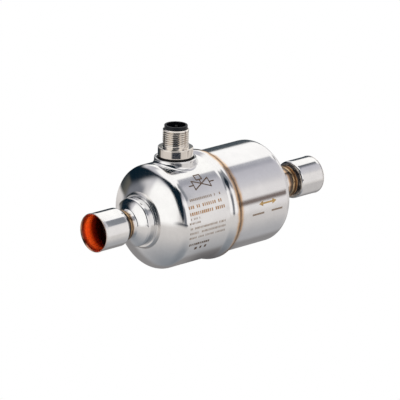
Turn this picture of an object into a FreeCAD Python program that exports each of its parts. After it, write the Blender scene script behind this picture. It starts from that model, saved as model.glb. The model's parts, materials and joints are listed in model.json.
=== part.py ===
import FreeCAD, Part
import math
import os
import Sketcher

# Electric regulating valve, in millimetres.
# X runs along the pipe line from the inlet's mouth at the origin, and Z points up along the cable connector.

document = FreeCAD.newDocument("RegulatingValve")
sheet = document.addObject("Spreadsheet::Sheet", "Sizes")


class Linked:
    """A size of the sheet, or what is worked out from such sizes, as a number and as a formula."""

    def __init__(self, value, formula):
        self.value = float(value)
        self.formula = formula

    def __add__(self, other):
        other = linked(other)
        return Linked(self.value + other.value, f"({self.formula} + {other.formula})")

    def __sub__(self, other):
        other = linked(other)
        return Linked(self.value - other.value, f"({self.formula} - {other.formula})")

    def __mul__(self, other):
        other = linked(other)
        return Linked(self.value * other.value, f"({self.formula} * {other.formula})")

    def __truediv__(self, other):
        other = linked(other)
        return Linked(self.value / other.value, f"({self.formula} / {other.formula})")

    def __radd__(self, other):
        return linked(other) + self

    def __rsub__(self, other):
        return linked(other) - self

    def __rmul__(self, other):
        return linked(other) * self

    def __neg__(self):
        return linked(0) - self


def linked(number):
    if isinstance(number, Linked):
        return number
    return Linked(number, f"({float(number):.9f})")


def root(number):
    return Linked(math.sqrt(number.value), f"sqrt({number.formula})")


def leg(long_side, short_side):
    """The third side of a right triangle, from its longest side and one other."""
    return root(long_side * long_side - short_side * short_side)


def size(alias, value):
    """Writes one driving size in the next row of the sheet."""
    row = len(size_names) + 1
    size_names.append(alias)
    sheet.set(f"A{row}", alias)
    sheet.set(f"B{row}", str(value))
    sheet.setAlias(f"B{row}", alias)
    return Linked(value, f"Sizes.{alias}")


size_names = []

# Solder sockets
bore_radius = size("bore_radius", 7.95)
bore_depth = size("bore_depth", 13.0)
liner_wall = size("liner_wall", 0.5)
sleeve_wall = size("sleeve_wall", 0.52)
rim_thickness = size("rim_thickness", 0.6)
rim_overhang = size("rim_overhang", 0.12)
socket_corner = size("socket_corner", 1.3)
socket_floor = size("socket_floor", 1.3)
hub_step = size("hub_step", 0.27)
hub_length = size("hub_length", 2.0)
flow_radius = size("flow_radius", 5.2)
shank_wall = size("shank_wall", 0.75)
shank_grip = size("shank_grip", 4.0)
shank_clearance = size("shank_clearance", 0.05)
shank_end_gap = size("shank_end_gap", 0.1)

# Turned collars in the middle of the heads
inlet_neck_length = size("inlet_neck_length", 7.4)
outlet_neck_length = size("outlet_neck_length", 12.3)
neck_wall = size("neck_wall", 0.7)
neck_flare = size("neck_flare", 1.2)
neck_weld_width = size("neck_weld_width", 1.8)
neck_weld_height = size("neck_weld_height", 0.9)
face_slope = size("face_slope", 0.5)
collar_radius = size("collar_radius", 11.3)
collar_edge = size("collar_edge", 1.0)
collar_length = size("collar_length", 5.6)
step_wall = size("step_wall", 1.0)
step_edge = size("step_edge", 0.3)
step_length = size("step_length", 1.14)
seam_weld_leg = size("seam_weld_leg", 0.8)
spigot_length = size("spigot_length", 2.5)
mouth_radius = size("mouth_radius", 9.5)
mouth_taper = size("mouth_taper", 3.3)
hole_clearance = size("hole_clearance", 0.05)

# Drawn shells
wall = size("wall", 1.5)
front_radius = size("front_radius", 24.5)
front_knuckle = size("front_knuckle", 5.0)
front_crown = size("front_crown", 38.0)
rear_knuckle = size("rear_knuckle", 4.0)
rear_crown = size("rear_crown", 60.0)
rise_margin = size("rise_margin", 0.4)
joggle_margin = size("joggle_margin", 1.75)
joggle_rise = size("joggle_rise", 1.45)
band_length = size("band_length", 4.35)
lap_clearance = size("lap_clearance", 0.15)
rear_length = size("rear_length", 31.4)

# Raised collar and cable connector
rise_wall = size("rise_wall", 1.2)
rise_fillet = size("rise_fillet", 1.8)
rise_land = size("rise_land", 0.1)
rise_edge = size("rise_edge", 0.35)
base_sink = size("base_sink", 3.5)
base_height = size("base_height", 3.0)
base_clearance = size("base_clearance", 0.05)
ring_groove = size("ring_groove", 1.7)
ring_section = size("ring_section", 1.5)
ring_squeeze = size("ring_squeeze", 0.05)
hex_flats = size("hex_flats", 14.2)
hex_gap = size("hex_gap", 0.4)
hex_height = size("hex_height", 5.6)
hex_chamfer = size("hex_chamfer", 0.5)
thread_radius = size("thread_radius", 6.0)
thread_length = size("thread_length", 8.2)
thread_chamfer = size("thread_chamfer", 0.5)
barrel_wall = size("barrel_wall", 0.95)
insert_wall = size("insert_wall", 0.5)
insert_clearance = size("insert_clearance", 0.05)
insert_lip_width = size("insert_lip_width", 0.35)
insert_lip_height = size("insert_lip_height", 2.2)
cavity_depth = size("cavity_depth", 8.5)
key_width = size("key_width", 1.2)
key_height = size("key_height", 0.6)
pin_radius = size("pin_radius", 0.5)
pin_circle = size("pin_circle", 3.0)
pin_recess = size("pin_recess", 2.0)
pin_tail = size("pin_tail", 1.6)
seal_step = size("seal_step", 0.45)
plug_width = size("plug_width", 9.8)
plug_height = size("plug_height", 2.0)
plug_gap = size("plug_gap", 0.2)
ribbon_width = size("ribbon_width", 5.0)
ribbon_thickness = size("ribbon_thickness", 0.9)
ribbon_run = size("ribbon_run", 3.6)
ribbon_height = size("ribbon_height", 1.2)
terminal_width = size("terminal_width", 7.2)
terminal_length = size("terminal_length", 2.2)
terminal_cover = size("terminal_cover", 0.6)

# Motor
flow_gap = size("flow_gap", 5.5)
can_wall = size("can_wall", 0.8)
can_corner = size("can_corner", 1.0)
can_gap = size("can_gap", 0.2)
boss_length = size("boss_length", 2.5)
boss_wall = size("boss_wall", 0.8)
stator_length = size("stator_length", 11.0)
stator_clearance = size("stator_clearance", 0.05)
pole_sheet = size("pole_sheet", 0.8)
pole_count = 6
claw_gap = size("claw_gap", 0.8)
claw_root = size("claw_root", 4.6)
claw_tip = size("claw_tip", 2.6)
coil_gap = size("coil_gap", 0.15)
bobbin_wall = size("bobbin_wall", 0.7)
winding_gap = size("winding_gap", 0.3)
air_gap = size("air_gap", 0.5)
rotor_half = size("rotor_half", 9.0)
magnet_wall = size("magnet_wall", 3.3)
hub_wall = size("hub_wall", 3.0)
hub_flange = size("hub_flange", 1.0)
spindle_radius = size("spindle_radius", 3.0)
journal_radius = size("journal_radius", 2.0)
journal_clearance = size("journal_clearance", 0.03)
bush_wall = size("bush_wall", 2.0)
spindle_collar = size("spindle_collar", 1.0)
bearing_radius = size("bearing_radius", 8.0)
bearing_width = size("bearing_width", 3.0)
race_shoulder = size("race_shoulder", 0.7)
ball_radius = size("ball_radius", 1.0)
ball_play = size("ball_play", 0.07)
ball_count = 8
ball_cage_gap = size("ball_cage_gap", 0.15)
ball_cage_width = size("ball_cage_width", 2.6)
ball_pocket_play = size("ball_pocket_play", 0.05)
bearing_relief = size("bearing_relief", 0.4)
flange_margin = size("flange_margin", 0.35)
flange_web = size("flange_web", 3.1)
register_length = size("register_length", 0.6)
spindle_hole_gap = size("spindle_hole_gap", 0.5)
arm_count = 6
arm_width = size("arm_width", 3.5)
arm_thickness = size("arm_thickness", 1.2)
arm_gap = size("arm_gap", 0.1)
arm_ring = size("arm_ring", 1.0)

# Valve
cage_wall = size("cage_wall", 2.5)
cage_flange = size("cage_flange", 3.0)
cage_grip = size("cage_grip", 3.3)
cup_wall = size("cup_wall", 1.55)
cup_floor = size("cup_floor", 1.2)
cup_gap = size("cup_gap", 0.3)
seat_thickness = size("seat_thickness", 2.0)
seat_width = size("seat_width", 2.0)
seat_edge = size("seat_edge", 0.4)
port_count = 6
port_straight = size("port_straight", 2.5)
port_width = size("port_width", 8.4)
port_tip = size("port_tip", 0.8)
port_margin = size("port_margin", 0.2)
port_cover = size("port_cover", 0.4)
stroke = size("stroke", 11.0)
stop_gap = size("stop_gap", 0.59)
shut_gap = size("shut_gap", 0.1)
piston_clearance = size("piston_clearance", 0.05)
piston_wall = size("piston_wall", 1.95)
piston_web = size("piston_web", 4.5)
piston_lip = size("piston_lip", 1.2)
groove_start = size("groove_start", 1.5)
groove_width = size("groove_width", 1.5)
groove_depth = size("groove_depth", 1.2)
seal_clearance = size("seal_clearance", 0.03)
nut_wall = size("nut_wall", 1.95)
nut_clearance = size("nut_clearance", 0.05)
nut_flange = size("nut_flange", 0.8)
nut_flange_length = size("nut_flange_length", 1.8)
nut_tail = size("nut_tail", 1.5)
spindle_reach = size("spindle_reach", 1.5)
rod_radius = size("rod_radius", 1.25)
rod_nut_gap = size("rod_nut_gap", 0.3)
rod_wall_gap = size("rod_wall_gap", 0.85)
rod_depth = size("rod_depth", 2.6)
rod_reach = size("rod_reach", 1.5)
rod_clearance = size("rod_clearance", 0.05)
screw_radius = size("screw_radius", 1.25)
screw_gap = size("screw_gap", 0.15)
screw_depth = size("screw_depth", 4.0)
screw_head_radius = size("screw_head_radius", 2.25)
screw_head_height = size("screw_head_height", 2.5)
screw_drive = size("screw_drive", 2.0)
screw_drive_depth = size("screw_drive_depth", 1.2)
screw_clearance = size("screw_clearance", 0.1)
screw_count = 4

# Radii worked out from one another
liner_radius = bore_radius + liner_wall
socket_radius = liner_radius + sleeve_wall
hub_radius = socket_radius - socket_corner - hub_step
shank_radius = flow_radius + shank_wall
neck_radius = shank_radius + shank_clearance + neck_wall
nut_radius = spindle_radius + nut_clearance + nut_wall
rod_circle = nut_radius + nut_flange + rod_nut_gap + rod_clearance + rod_radius
piston_cavity = rod_circle + rod_radius + rod_wall_gap
piston_radius = piston_cavity + piston_wall
sleeve_bore = piston_radius + piston_clearance
cage_radius = sleeve_bore + cage_wall
cup_radius = cage_radius + hole_clearance + cup_wall
screw_circle = cage_radius + screw_gap + screw_head_radius
flange_radius = screw_circle + screw_head_radius + flange_margin
step_radius = sleeve_bore + step_wall
step_hole = step_radius + hole_clearance
band_radius = front_radius + joggle_rise
rear_radius = band_radius - wall - lap_clearance
hex_corner = hex_flats / (2 * math.cos(math.pi / 6))
rise_bore = hex_corner + hex_gap
rise_radius = rise_bore + rise_wall
base_radius = rise_bore - base_clearance
groove_radius = rise_bore - ring_section - ring_squeeze * 2
barrel_bore = thread_radius - barrel_wall
insert_radius = barrel_bore - insert_clearance
insert_lip_radius = barrel_bore + insert_lip_width
cavity_radius = insert_radius - insert_wall
seal_radius = barrel_bore - seal_step
can_radius = front_radius - wall - flow_gap
stator_radius = can_radius - can_wall - stator_clearance
hub_rim = spindle_radius + hub_wall
magnet_radius = hub_rim + magnet_wall
pole_radius = magnet_radius + air_gap
ball_circle = (spindle_radius + bearing_radius) / 2

# Stations along the pipe's axis, from the inlet's mouth
socket_depth = bore_depth + liner_wall + socket_floor
inlet_face = socket_depth + inlet_neck_length
inlet_step = inlet_face + collar_length
inlet_root = inlet_step + step_length
front_crown_depth = leg(front_crown, step_radius)
front_head_depth = front_crown_depth - leg(front_crown - front_knuckle, front_radius - front_knuckle)
front_start = inlet_root + front_head_depth
connector_x = front_start + rise_margin + rise_fillet + rise_radius
joggle_x = connector_x + rise_radius + rise_fillet + joggle_margin
band_end = joggle_x + band_length
rear_end = band_end + rear_length
rear_crown_depth = leg(rear_crown, step_radius)
rear_head_depth = rear_crown_depth - leg(rear_crown - rear_knuckle, rear_radius - rear_knuckle)
outlet_root = rear_end + rear_head_depth
outlet_step = outlet_root + step_length
outlet_face = outlet_step + collar_length
outlet_mouth = outlet_face + outlet_neck_length + socket_depth
can_front = connector_x - stator_length - can_gap - can_wall
motor_face = connector_x + stator_length + can_gap + register_length
bearing_seat = motor_face + bearing_width + can_gap * 2
flange_back = bearing_seat + flange_web
cage_face = flange_back + cage_flange

# Heights of the connector, from the pipe's axis
rise_top = front_radius + rise_fillet + rise_land + rise_edge
base_bottom = front_radius - base_sink
base_top = base_bottom + base_height
hex_bottom = base_top + ring_groove
hex_top = hex_bottom + hex_height
thread_top = hex_top + thread_length
insert_top = thread_top + insert_lip_height
cavity_floor = insert_top - cavity_depth
pin_foot = base_bottom - pin_tail


class Arc:
    """A step of an outline that runs round a centre to its end."""

    def __init__(self, centre, end):
        self.centre = centre
        self.end = end


def point_of(place):
    return FreeCAD.Vector(linked(place[0]).value, linked(place[1]).value, 0)


def origin_feature(body, role):
    return next(feature for feature in body.Origin.OriginFeatures if feature.Role == role)


def new_body(label, rest_on=None):
    """Starts a sub-part, moved along X or turned about X where it is given in a frame of its own."""
    body = document.addObject("PartDesign::Body", label)
    body.Label = label
    if rest_on is not None:
        body.setExpression("Placement.Base.x", rest_on.formula)
    bodies.append(body)
    return body


bodies = []


def new_sketch(body, role, lift=None):
    sketch = body.newObject("Sketcher::SketchObject", body.Label + "_sketch")
    sketch.AttachmentSupport = [(origin_feature(body, role), "")]
    sketch.MapMode = "FlatFace"
    if lift is not None:
        sketch.setExpression("AttachmentOffset.Base.z", linked(lift).formula)
    return sketch


def fix(sketch, kind, piece, end, number):
    """Ties one coordinate or radius of a sketch to its formula."""
    number = linked(number)
    if end is None:
        constraint = Sketcher.Constraint(kind, piece, number.value)
    else:
        constraint = Sketcher.Constraint(kind, piece, end, number.value)
    index = sketch.addConstraint(constraint)
    sketch.setExpression(f"Constraints[{index}]", number.formula)


def fix_point(sketch, piece, end, place):
    fix(sketch, "DistanceX", piece, end, place[0])
    fix(sketch, "DistanceY", piece, end, place[1])


def arc_piece(centre, start, finish):
    """The shorter arc between two points, and whether it runs clockwise from the first to the second."""
    radius = (start - centre).Length
    start_angle = math.atan2(start.y - centre.y, start.x - centre.x)
    finish_angle = math.atan2(finish.y - centre.y, finish.x - centre.x)
    turn = (finish_angle - start_angle) % (2 * math.pi)
    clockwise = turn > math.pi
    circle = Part.Circle(centre, FreeCAD.Vector(0, 0, 1), radius)
    if clockwise:
        return Part.ArcOfCircle(circle, finish_angle, start_angle), True
    return Part.ArcOfCircle(circle, start_angle, finish_angle), False


def draw_outline(sketch, path):
    """Draws a closed outline through points and arcs, and ties each of them to its formula."""
    ends = [step.end if isinstance(step, Arc) else step for step in path]
    count = len(path)
    pieces = []
    first = []
    last = []
    for number in range(count):
        start = point_of(ends[number])
        finish = point_of(ends[(number + 1) % count])
        step = path[(number + 1) % count]
        clockwise = False
        if isinstance(step, Arc):
            piece, clockwise = arc_piece(point_of(step.centre), start, finish)
        else:
            piece = Part.LineSegment(start, finish)
        pieces.append(sketch.addGeometry(piece, False))
        first.append(2 if clockwise else 1)
        last.append(1 if clockwise else 2)
    for number in range(count):
        after = (number + 1) % count
        joint = Sketcher.Constraint("Coincident", pieces[number], last[number], pieces[after], first[after])
        sketch.addConstraint(joint)
    for number in range(count):
        step = path[number]
        if isinstance(step, Arc):
            fix_point(sketch, pieces[number - 1], 3, step.centre)
            reach = point_of(step.end) - point_of(step.centre)
            upright = abs(reach.x) >= abs(reach.y)
            kind = "DistanceY" if upright else "DistanceX"
            fix(sketch, kind, pieces[number], first[number], step.end[1 if upright else 0])
        else:
            fix_point(sketch, pieces[number], first[number], step)


def draw_circles(sketch, radius, places):
    for place in places:
        circle = Part.Circle(point_of(place), FreeCAD.Vector(0, 0, 1), linked(radius).value)
        piece = sketch.addGeometry(circle, False)
        fix_point(sketch, piece, 3, place)
        fix(sketch, "Radius", piece, None, radius)


def ring_places(radius, count, first_angle=0.0):
    """Places round a circle about the sketch's origin."""
    places = []
    for number in range(count):
        angle = first_angle + 2 * math.pi * number / count
        places.append((radius * round(math.cos(angle), 12), radius * round(math.sin(angle), 12)))
    return places


def rectangle(low_x, low_y, high_x, high_y):
    return [(low_x, low_y), (high_x, low_y), (high_x, high_y), (low_x, high_y)]


def turned(body, path, axis="H_Axis", kind="PartDesign::Revolution"):
    """Turns an outline right round the body's X axis, or round Z with the V axis."""
    sketch = new_sketch(body, "XZ_Plane")
    draw_outline(sketch, path)
    feature = body.newObject(kind, body.Label + "_turned")
    feature.Profile = sketch
    feature.ReferenceAxis = (sketch, [axis])
    feature.Angle = 360
    return feature


def turned_away(body, path, axis="H_Axis"):
    return turned(body, path, axis, "PartDesign::Groove")


def pad(body, sketch, length, down=False, both_ways=False):
    feature = body.newObject("PartDesign::Pad", body.Label + "_pad")
    feature.Profile = sketch
    feature.setExpression("Length", linked(length).formula)
    feature.Reversed = down
    feature.Midplane = both_ways
    return feature


def pocket(body, sketch, length, up=False):
    """Cuts down from the sketch, or up from it."""
    feature = body.newObject("PartDesign::Pocket", body.Label + "_pocket")
    feature.Profile = sketch
    feature.setExpression("Length", linked(length).formula)
    feature.Reversed = up
    return feature


def repeat_round(body, feature, count, role="X_Axis"):
    pattern = body.newObject("PartDesign::PolarPattern", body.Label + "_pattern")
    pattern.Originals = [feature]
    pattern.Axis = (origin_feature(body, role), [""])
    pattern.Angle = 360
    pattern.Occurrences = count
    body.Tip = pattern
    return pattern


def round_edges(body, radius, belongs):
    """Rounds the edges of the body's last shape that the test picks."""
    document.recompute()
    feature = body.Tip
    names = [f"Edge{number + 1}" for number, edge in enumerate(feature.Shape.Edges) if belongs(edge)]
    fillet = body.newObject("PartDesign::Fillet", body.Label + "_fillet")
    fillet.Base = (feature, names)
    fillet.setExpression("Radius", radius.formula)
    return fillet


class Head:
    """A torispherical head: the points of its outside, or of a surface inset from it."""

    def __init__(self, side, start, radius, knuckle, crown):
        self.side = side
        self.start = start
        self.radius = radius
        self.knuckle = knuckle
        self.crown = crown
        self.knuckle_centre = (start, radius - knuckle)
        self.crown_centre = (start - side * leg(crown - knuckle, radius - knuckle), linked(0))

    def tangent(self, inset):
        share = (self.crown - inset) / (self.crown - self.knuckle)
        along = self.crown_centre[0] + (self.start - self.crown_centre[0]) * share
        return along, self.knuckle_centre[1] * share

    def at_radius(self, radius, inset):
        return self.crown_centre[0] + self.side * leg(self.crown - inset, linked(radius)), linked(radius)

    def outwards(self, stop_radius, inset):
        """Steps from the hole's edge to the start of the cylinder."""
        return [
            self.at_radius(stop_radius, inset),
            Arc(self.crown_centre, self.tangent(inset)),
            Arc(self.knuckle_centre, (self.start, self.radius - inset)),
        ]

    def inwards(self, stop_radius, inset):
        """Steps from the start of the cylinder to the hole's edge."""
        return [
            (self.start, self.radius - inset),
            Arc(self.knuckle_centre, self.tangent(inset)),
            Arc(self.crown_centre, self.at_radius(stop_radius, inset)),
        ]


front_head = Head(-1, front_start, front_radius, front_knuckle, front_crown)
rear_head = Head(1, rear_end, rear_radius, rear_knuckle, rear_crown)
nothing = linked(0)

# The cup inside the rear head that holds the valve's cage, and what is set from it
cup_back = rear_head.at_radius(cup_radius, wall)[0] - cup_gap
cage_end = cup_back - cup_floor
cup_front = cage_end - cage_grip
seat_end = cage_end + seat_thickness
lip_shut = cage_end - shut_gap
piston_shut = flange_back + stop_gap + stroke + nut_flange_length
port_end = cup_front - port_margin
port_start = lip_shut - stroke - port_cover


def make_front_shell():
    body = new_body("front_shell")
    block = new_sketch(body, "YZ_Plane", inlet_root)
    draw_circles(block, front_radius, [(nothing, nothing)])
    pad(body, block, band_end - inlet_root)
    rise = new_sketch(body, "XY_Plane")
    draw_circles(rise, rise_radius, [(connector_x, 0)])
    pad(body, rise, rise_top)
    middle = connector_x.value
    reach = rise_radius.value
    top = rise_top.value

    def on_rise(edge):
        middle_point = edge.valueAt((edge.FirstParameter + edge.LastParameter) / 2)
        distance = math.hypot(middle_point.x - middle, middle_point.y)
        goes_round = edge.BoundBox.YLength > reach / 2
        return goes_round and abs(distance - reach) < 0.01 and 0 < middle_point.z < top - 0.1

    round_edges(body, rise_fillet, on_rise)

    def on_rim(edge):
        box = edge.BoundBox
        return abs(box.ZMax - top) < 0.01 and box.ZLength < 0.01 and abs(box.Center.x - middle) < 0.1

    round_edges(body, rise_edge, on_rim)
    # The head is shaped after the collar's root is rounded, and its hole is cut with it.
    inside = front_head.outwards(step_hole, wall)
    turned_away(body, [(inside[0][0], nothing), inside[0]] + front_head.outwards(step_hole, nothing) + [
        (front_start, band_radius),
        (inlet_root - wall, band_radius),
        (inlet_root - wall, nothing),
    ])
    joggle_end = joggle_x + joggle_rise
    turned(body, [
        (joggle_x, step_hole),
        (joggle_x, front_radius),
        (joggle_end, band_radius),
        (band_end, band_radius),
        (band_end, step_hole),
    ])
    # The joggle's inner corners lie further along by the wall's thickness times tan 22.5 degrees.
    corner_shift = wall * math.tan(math.pi / 8)
    past_end = band_end + band_length
    turned_away(body, [(inside[0][0], nothing)] + inside + [
        (joggle_x + corner_shift, front_radius - wall),
        (joggle_end + corner_shift, band_radius - wall),
        (past_end, band_radius - wall),
        (past_end, nothing),
    ])
    opening = new_sketch(body, "XY_Plane")
    draw_circles(opening, rise_bore, [(connector_x, 0)])
    pocket(body, opening, rise_top + 1, up=True)


def make_rear_shell():
    body = new_body("rear_shell")
    front_edge = joggle_x + joggle_rise + wall * math.tan(math.pi / 8) + lap_clearance
    turned(body, [(front_edge, rear_radius)] + rear_head.inwards(step_hole, nothing)
           + rear_head.outwards(step_hole, wall) + [(front_edge, rear_radius - wall)])


def make_girth_weld():
    """A convex fillet bead between the band's edge and the rear shell."""
    body = new_body("girth_weld")
    height = band_radius - rear_radius
    turned(body, [
        (band_end, rear_radius),
        (band_end, band_radius),
        Arc((band_end - height, rear_radius - height), (band_end + height, rear_radius)),
    ])


def make_seam_weld(label, side, root_x, head):
    """A small fillet bead between a turned collar and the head round it."""
    body = new_body(label)
    turned(body, [
        (root_x + side * seam_weld_leg, step_radius),
        head.at_radius(step_radius, nothing),
        Arc(head.crown_centre, head.at_radius(step_radius + seam_weld_leg, nothing)),
    ])


def adapter_outside(side, face, inner_end):
    """The outside of a turned collar, from the tip of its neck to its end inside the head."""
    def at(depth):
        return face - side * linked(depth)

    neck_tip = (inlet_neck_length if side < 0 else outlet_neck_length) - hub_length - neck_weld_width
    edge_radius = collar_radius - collar_edge
    return [
        (at(-neck_tip), shank_radius + shank_clearance),
        (at(-neck_tip), neck_radius),
        (at(-neck_flare), neck_radius),
        Arc((at(-neck_flare), neck_radius + neck_flare), (at(0), neck_radius + neck_flare)),
        (at(face_slope), edge_radius),
        Arc((at(face_slope + collar_edge), edge_radius), (at(face_slope + collar_edge), collar_radius)),
        (at(collar_length), collar_radius),
        (at(collar_length), step_radius - step_edge),
        (at(collar_length + step_edge), step_radius),
        (inner_end, step_radius),
    ]


def adapter_inside(side, face, mouth, wide_radius):
    """The flow bore of a turned collar, from its wide mouth to the shoulder behind the shank."""
    shoulder = face - side * shank_grip
    return [
        (mouth, wide_radius),
        (mouth + side * mouth_taper, flow_radius),
        (shoulder, flow_radius),
        (shoulder, shank_radius + shank_clearance),
    ]


def make_adapters():
    inner_end = inlet_root + spigot_length
    inlet = new_body("inlet_adapter")
    inlet_bore = adapter_inside(-1, inlet_face, inner_end, mouth_radius)
    turned(inlet, adapter_outside(-1, inlet_face, inner_end) + inlet_bore)
    outlet = new_body("outlet_adapter")
    turned(outlet, adapter_outside(1, outlet_face, cup_back) + [
        (cup_back, cup_radius),
        (cup_front, cup_radius),
        (cup_front, cage_radius + hole_clearance),
        (cage_end, cage_radius + hole_clearance),
        (cage_end, sleeve_bore),
        (seat_end, sleeve_bore),
    ] + adapter_inside(1, outlet_face, seat_end, sleeve_bore - seat_width))


def make_socket(name, side, mouth, neck_length):
    """A steel cup with its shank, the copper cup inside it and the bead where the shank enters the collar."""
    def at(depth):
        return mouth - side * linked(depth)

    floor = bore_depth + liner_wall
    shank_end = socket_depth + neck_length + shank_grip - shank_end_gap
    weld_start = socket_depth + hub_length
    sleeve = new_body(name + "_socket")
    turned(sleeve, [
        (at(rim_thickness), liner_radius),
        (at(rim_thickness), socket_radius),
        (at(socket_depth - socket_corner), socket_radius),
        Arc((at(socket_depth - socket_corner), socket_radius - socket_corner),
            (at(socket_depth), socket_radius - socket_corner)),
        (at(socket_depth), hub_radius),
        (at(weld_start), hub_radius),
        (at(weld_start), shank_radius),
        (at(shank_end), shank_radius),
        (at(shank_end), flow_radius),
        (at(floor), flow_radius),
        (at(floor), liner_radius),
    ])
    liner = new_body(name + "_liner")
    rim_radius = socket_radius + rim_overhang
    rim_round = rim_thickness / 2
    turned(liner, [
        (at(0), bore_radius),
        (at(0), rim_radius - rim_round),
        Arc((at(rim_round), rim_radius - rim_round), (at(rim_round), rim_radius)),
        (at(rim_thickness), rim_radius),
        (at(rim_thickness), liner_radius),
        (at(floor), liner_radius),
        (at(floor), flow_radius),
        (at(bore_depth), flow_radius),
        (at(bore_depth), bore_radius),
    ])
    bead = new_body(name + "_neck_weld")
    bead_radius = shank_radius + neck_weld_height
    middle = weld_start + neck_weld_width / 2
    turned(bead, [
        (at(weld_start), shank_radius),
        (at(weld_start), bead_radius),
        Arc((at(middle), shank_radius), (at(weld_start + neck_weld_width), bead_radius)),
        (at(weld_start + neck_weld_width), shank_radius),
    ])


def make_connector_shell():
    body = new_body("connector_shell", connector_x)
    seal_top = base_top + insert_clearance
    turned(body, [
        (seal_radius, base_bottom),
        (base_radius, base_bottom),
        (base_radius, base_top),
        (groove_radius, base_top),
        (groove_radius, hex_bottom),
        (hex_corner, hex_bottom),
        (hex_corner, hex_top - hex_chamfer),
        (hex_corner - 2 * hex_chamfer, hex_top),
        (thread_radius, hex_top),
        (thread_radius, thread_top - thread_chamfer),
        (thread_radius - thread_chamfer, thread_top),
        (barrel_bore, thread_top),
        (barrel_bore, seal_top),
        (seal_radius, seal_top),
    ], "V_Axis")
    flats = new_sketch(body, "XY_Plane", hex_bottom)
    draw_circles(flats, hex_corner + 1, [(0, 0)])
    draw_outline(flats, ring_places(hex_corner, 6, math.pi / 6))
    pocket(body, flats, hex_top - hex_bottom, up=True)


def make_connector_insert():
    body = new_body("connector_insert", connector_x)
    bottom = base_top + insert_clearance
    turned(body, [
        (nothing, bottom),
        (insert_radius, bottom),
        (insert_radius, thread_top),
        (insert_lip_radius, thread_top),
        (insert_lip_radius, insert_top),
        (cavity_radius, insert_top),
        (cavity_radius, cavity_floor),
        (nothing, cavity_floor),
    ], "V_Axis")
    holes = new_sketch(body, "XY_Plane", bottom)
    draw_circles(holes, pin_radius, ring_places(pin_circle, 4))
    pocket(body, holes, cavity_floor - bottom, up=True)
    # The coding key is a rib on the cavity's wall, midway between two contacts.
    key = new_sketch(body, "XY_Plane", cavity_floor)
    half = key_width / 2
    inner = cavity_radius - key_height
    outer = cavity_radius + insert_wall / 2
    diagonal = math.sqrt(0.5)
    corners = rectangle(inner, -half, outer, half)
    draw_outline(key, [((out - aside) * diagonal, (out + aside) * diagonal) for out, aside in corners])
    pad(body, key, cavity_depth - pin_recess)


def make_contacts():
    pins = new_body("contact_pins", connector_x)
    foot = new_sketch(pins, "XY_Plane", pin_foot)
    draw_circles(foot, pin_radius, ring_places(pin_circle, 4))
    pad(pins, foot, insert_top - pin_recess - pin_foot)
    seal = new_body("glass_seal", connector_x)
    disc = new_sketch(seal, "XY_Plane", base_bottom)
    draw_circles(disc, seal_radius, [(0, 0)])
    draw_circles(disc, pin_radius, ring_places(pin_circle, 4))
    pad(seal, disc, base_height)


def make_o_ring():
    body = new_body("connector_o_ring", connector_x)
    sketch = new_sketch(body, "XZ_Plane")
    half = ring_section / 2
    draw_circles(sketch, half, [(groove_radius + ring_squeeze + half, base_top + half)])
    feature = body.newObject("PartDesign::Revolution", body.Label + "_turned")
    feature.Profile = sketch
    feature.ReferenceAxis = (sketch, ["V_Axis"])
    feature.Angle = 360


def make_lead():
    """The plug on the contacts' feet, the flat lead and the terminal block on the motor can."""
    plug = new_body("pin_plug", connector_x)
    plug_top = base_bottom - plug_gap
    plug_bottom = plug_top - plug_height
    half = plug_width / 2
    floor = new_sketch(plug, "XY_Plane", plug_bottom)
    draw_outline(floor, rectangle(-half, -half, half, half))
    pad(plug, floor, pin_foot - plug_bottom)
    sleeve = new_sketch(plug, "XY_Plane", pin_foot)
    draw_outline(sleeve, rectangle(-half, -half, half, half))
    draw_circles(sleeve, pin_radius, ring_places(pin_circle, 4))
    pad(plug, sleeve, plug_top - pin_foot)

    ribbon = new_body("lead_ribbon", connector_x)
    start = (half, plug_bottom + plug_height / 2)
    finish = (half + ribbon_run, can_radius + ribbon_height)
    drop = start[1] - finish[1]
    bend = (ribbon_run * ribbon_run + drop * drop) / (4 * drop)
    upper = (start[0], start[1] - bend)
    lower = (finish[0], finish[1] + bend)
    middle = ((start[0] + finish[0]) / 2, (start[1] + finish[1]) / 2)
    skin = ribbon_thickness / 2

    def beside(shift):
        share = (bend + shift) / bend
        return (upper[0] + (middle[0] - upper[0]) * share, upper[1] + (middle[1] - upper[1]) * share)

    band = new_sketch(ribbon, "XZ_Plane")
    draw_outline(band, [
        (start[0], start[1] + skin),
        Arc(upper, beside(skin)),
        Arc(lower, (finish[0], finish[1] + skin)),
        (finish[0], finish[1] - skin),
        Arc(lower, beside(-skin)),
        Arc(upper, (start[0], start[1] - skin)),
    ])
    pad(ribbon, band, ribbon_width, both_ways=True)

    block = new_body("terminal_block", connector_x)
    top = finish[1] + skin + terminal_cover
    side = terminal_width / 2
    foot = new_sketch(block, "XY_Plane", can_radius - can_wall)
    draw_outline(foot, rectangle(finish[0], -side, finish[0] + terminal_length, side))
    pad(block, foot, top - can_radius + can_wall)
    margin = terminal_length / 2
    turned_away(block, [
        (finish[0] - margin, nothing),
        (finish[0] - margin, can_radius),
        (finish[0] + terminal_length + margin, can_radius),
        (finish[0] + terminal_length + margin, nothing),
    ])


def make_motor_can():
    can = new_body("motor_can")
    bush_radius = journal_radius + bush_wall
    boss_radius = bush_radius + boss_wall
    inner = can_radius - can_wall
    corner = can_front + can_corner
    turned(can, [
        (can_front - boss_length, bush_radius),
        (can_front - boss_length, boss_radius),
        (can_front, boss_radius),
        (can_front, can_radius - can_corner),
        Arc((corner, can_radius - can_corner), (corner, can_radius)),
        (motor_face, can_radius),
        (motor_face, inner),
        (can_front + can_wall, inner),
        (can_front + can_wall, bush_radius),
    ])
    bush = new_body("front_bush")
    bush_bore = journal_radius + journal_clearance
    turned(bush, rectangle(can_front - boss_length, bush_bore, can_front + can_wall, bush_radius))


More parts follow.
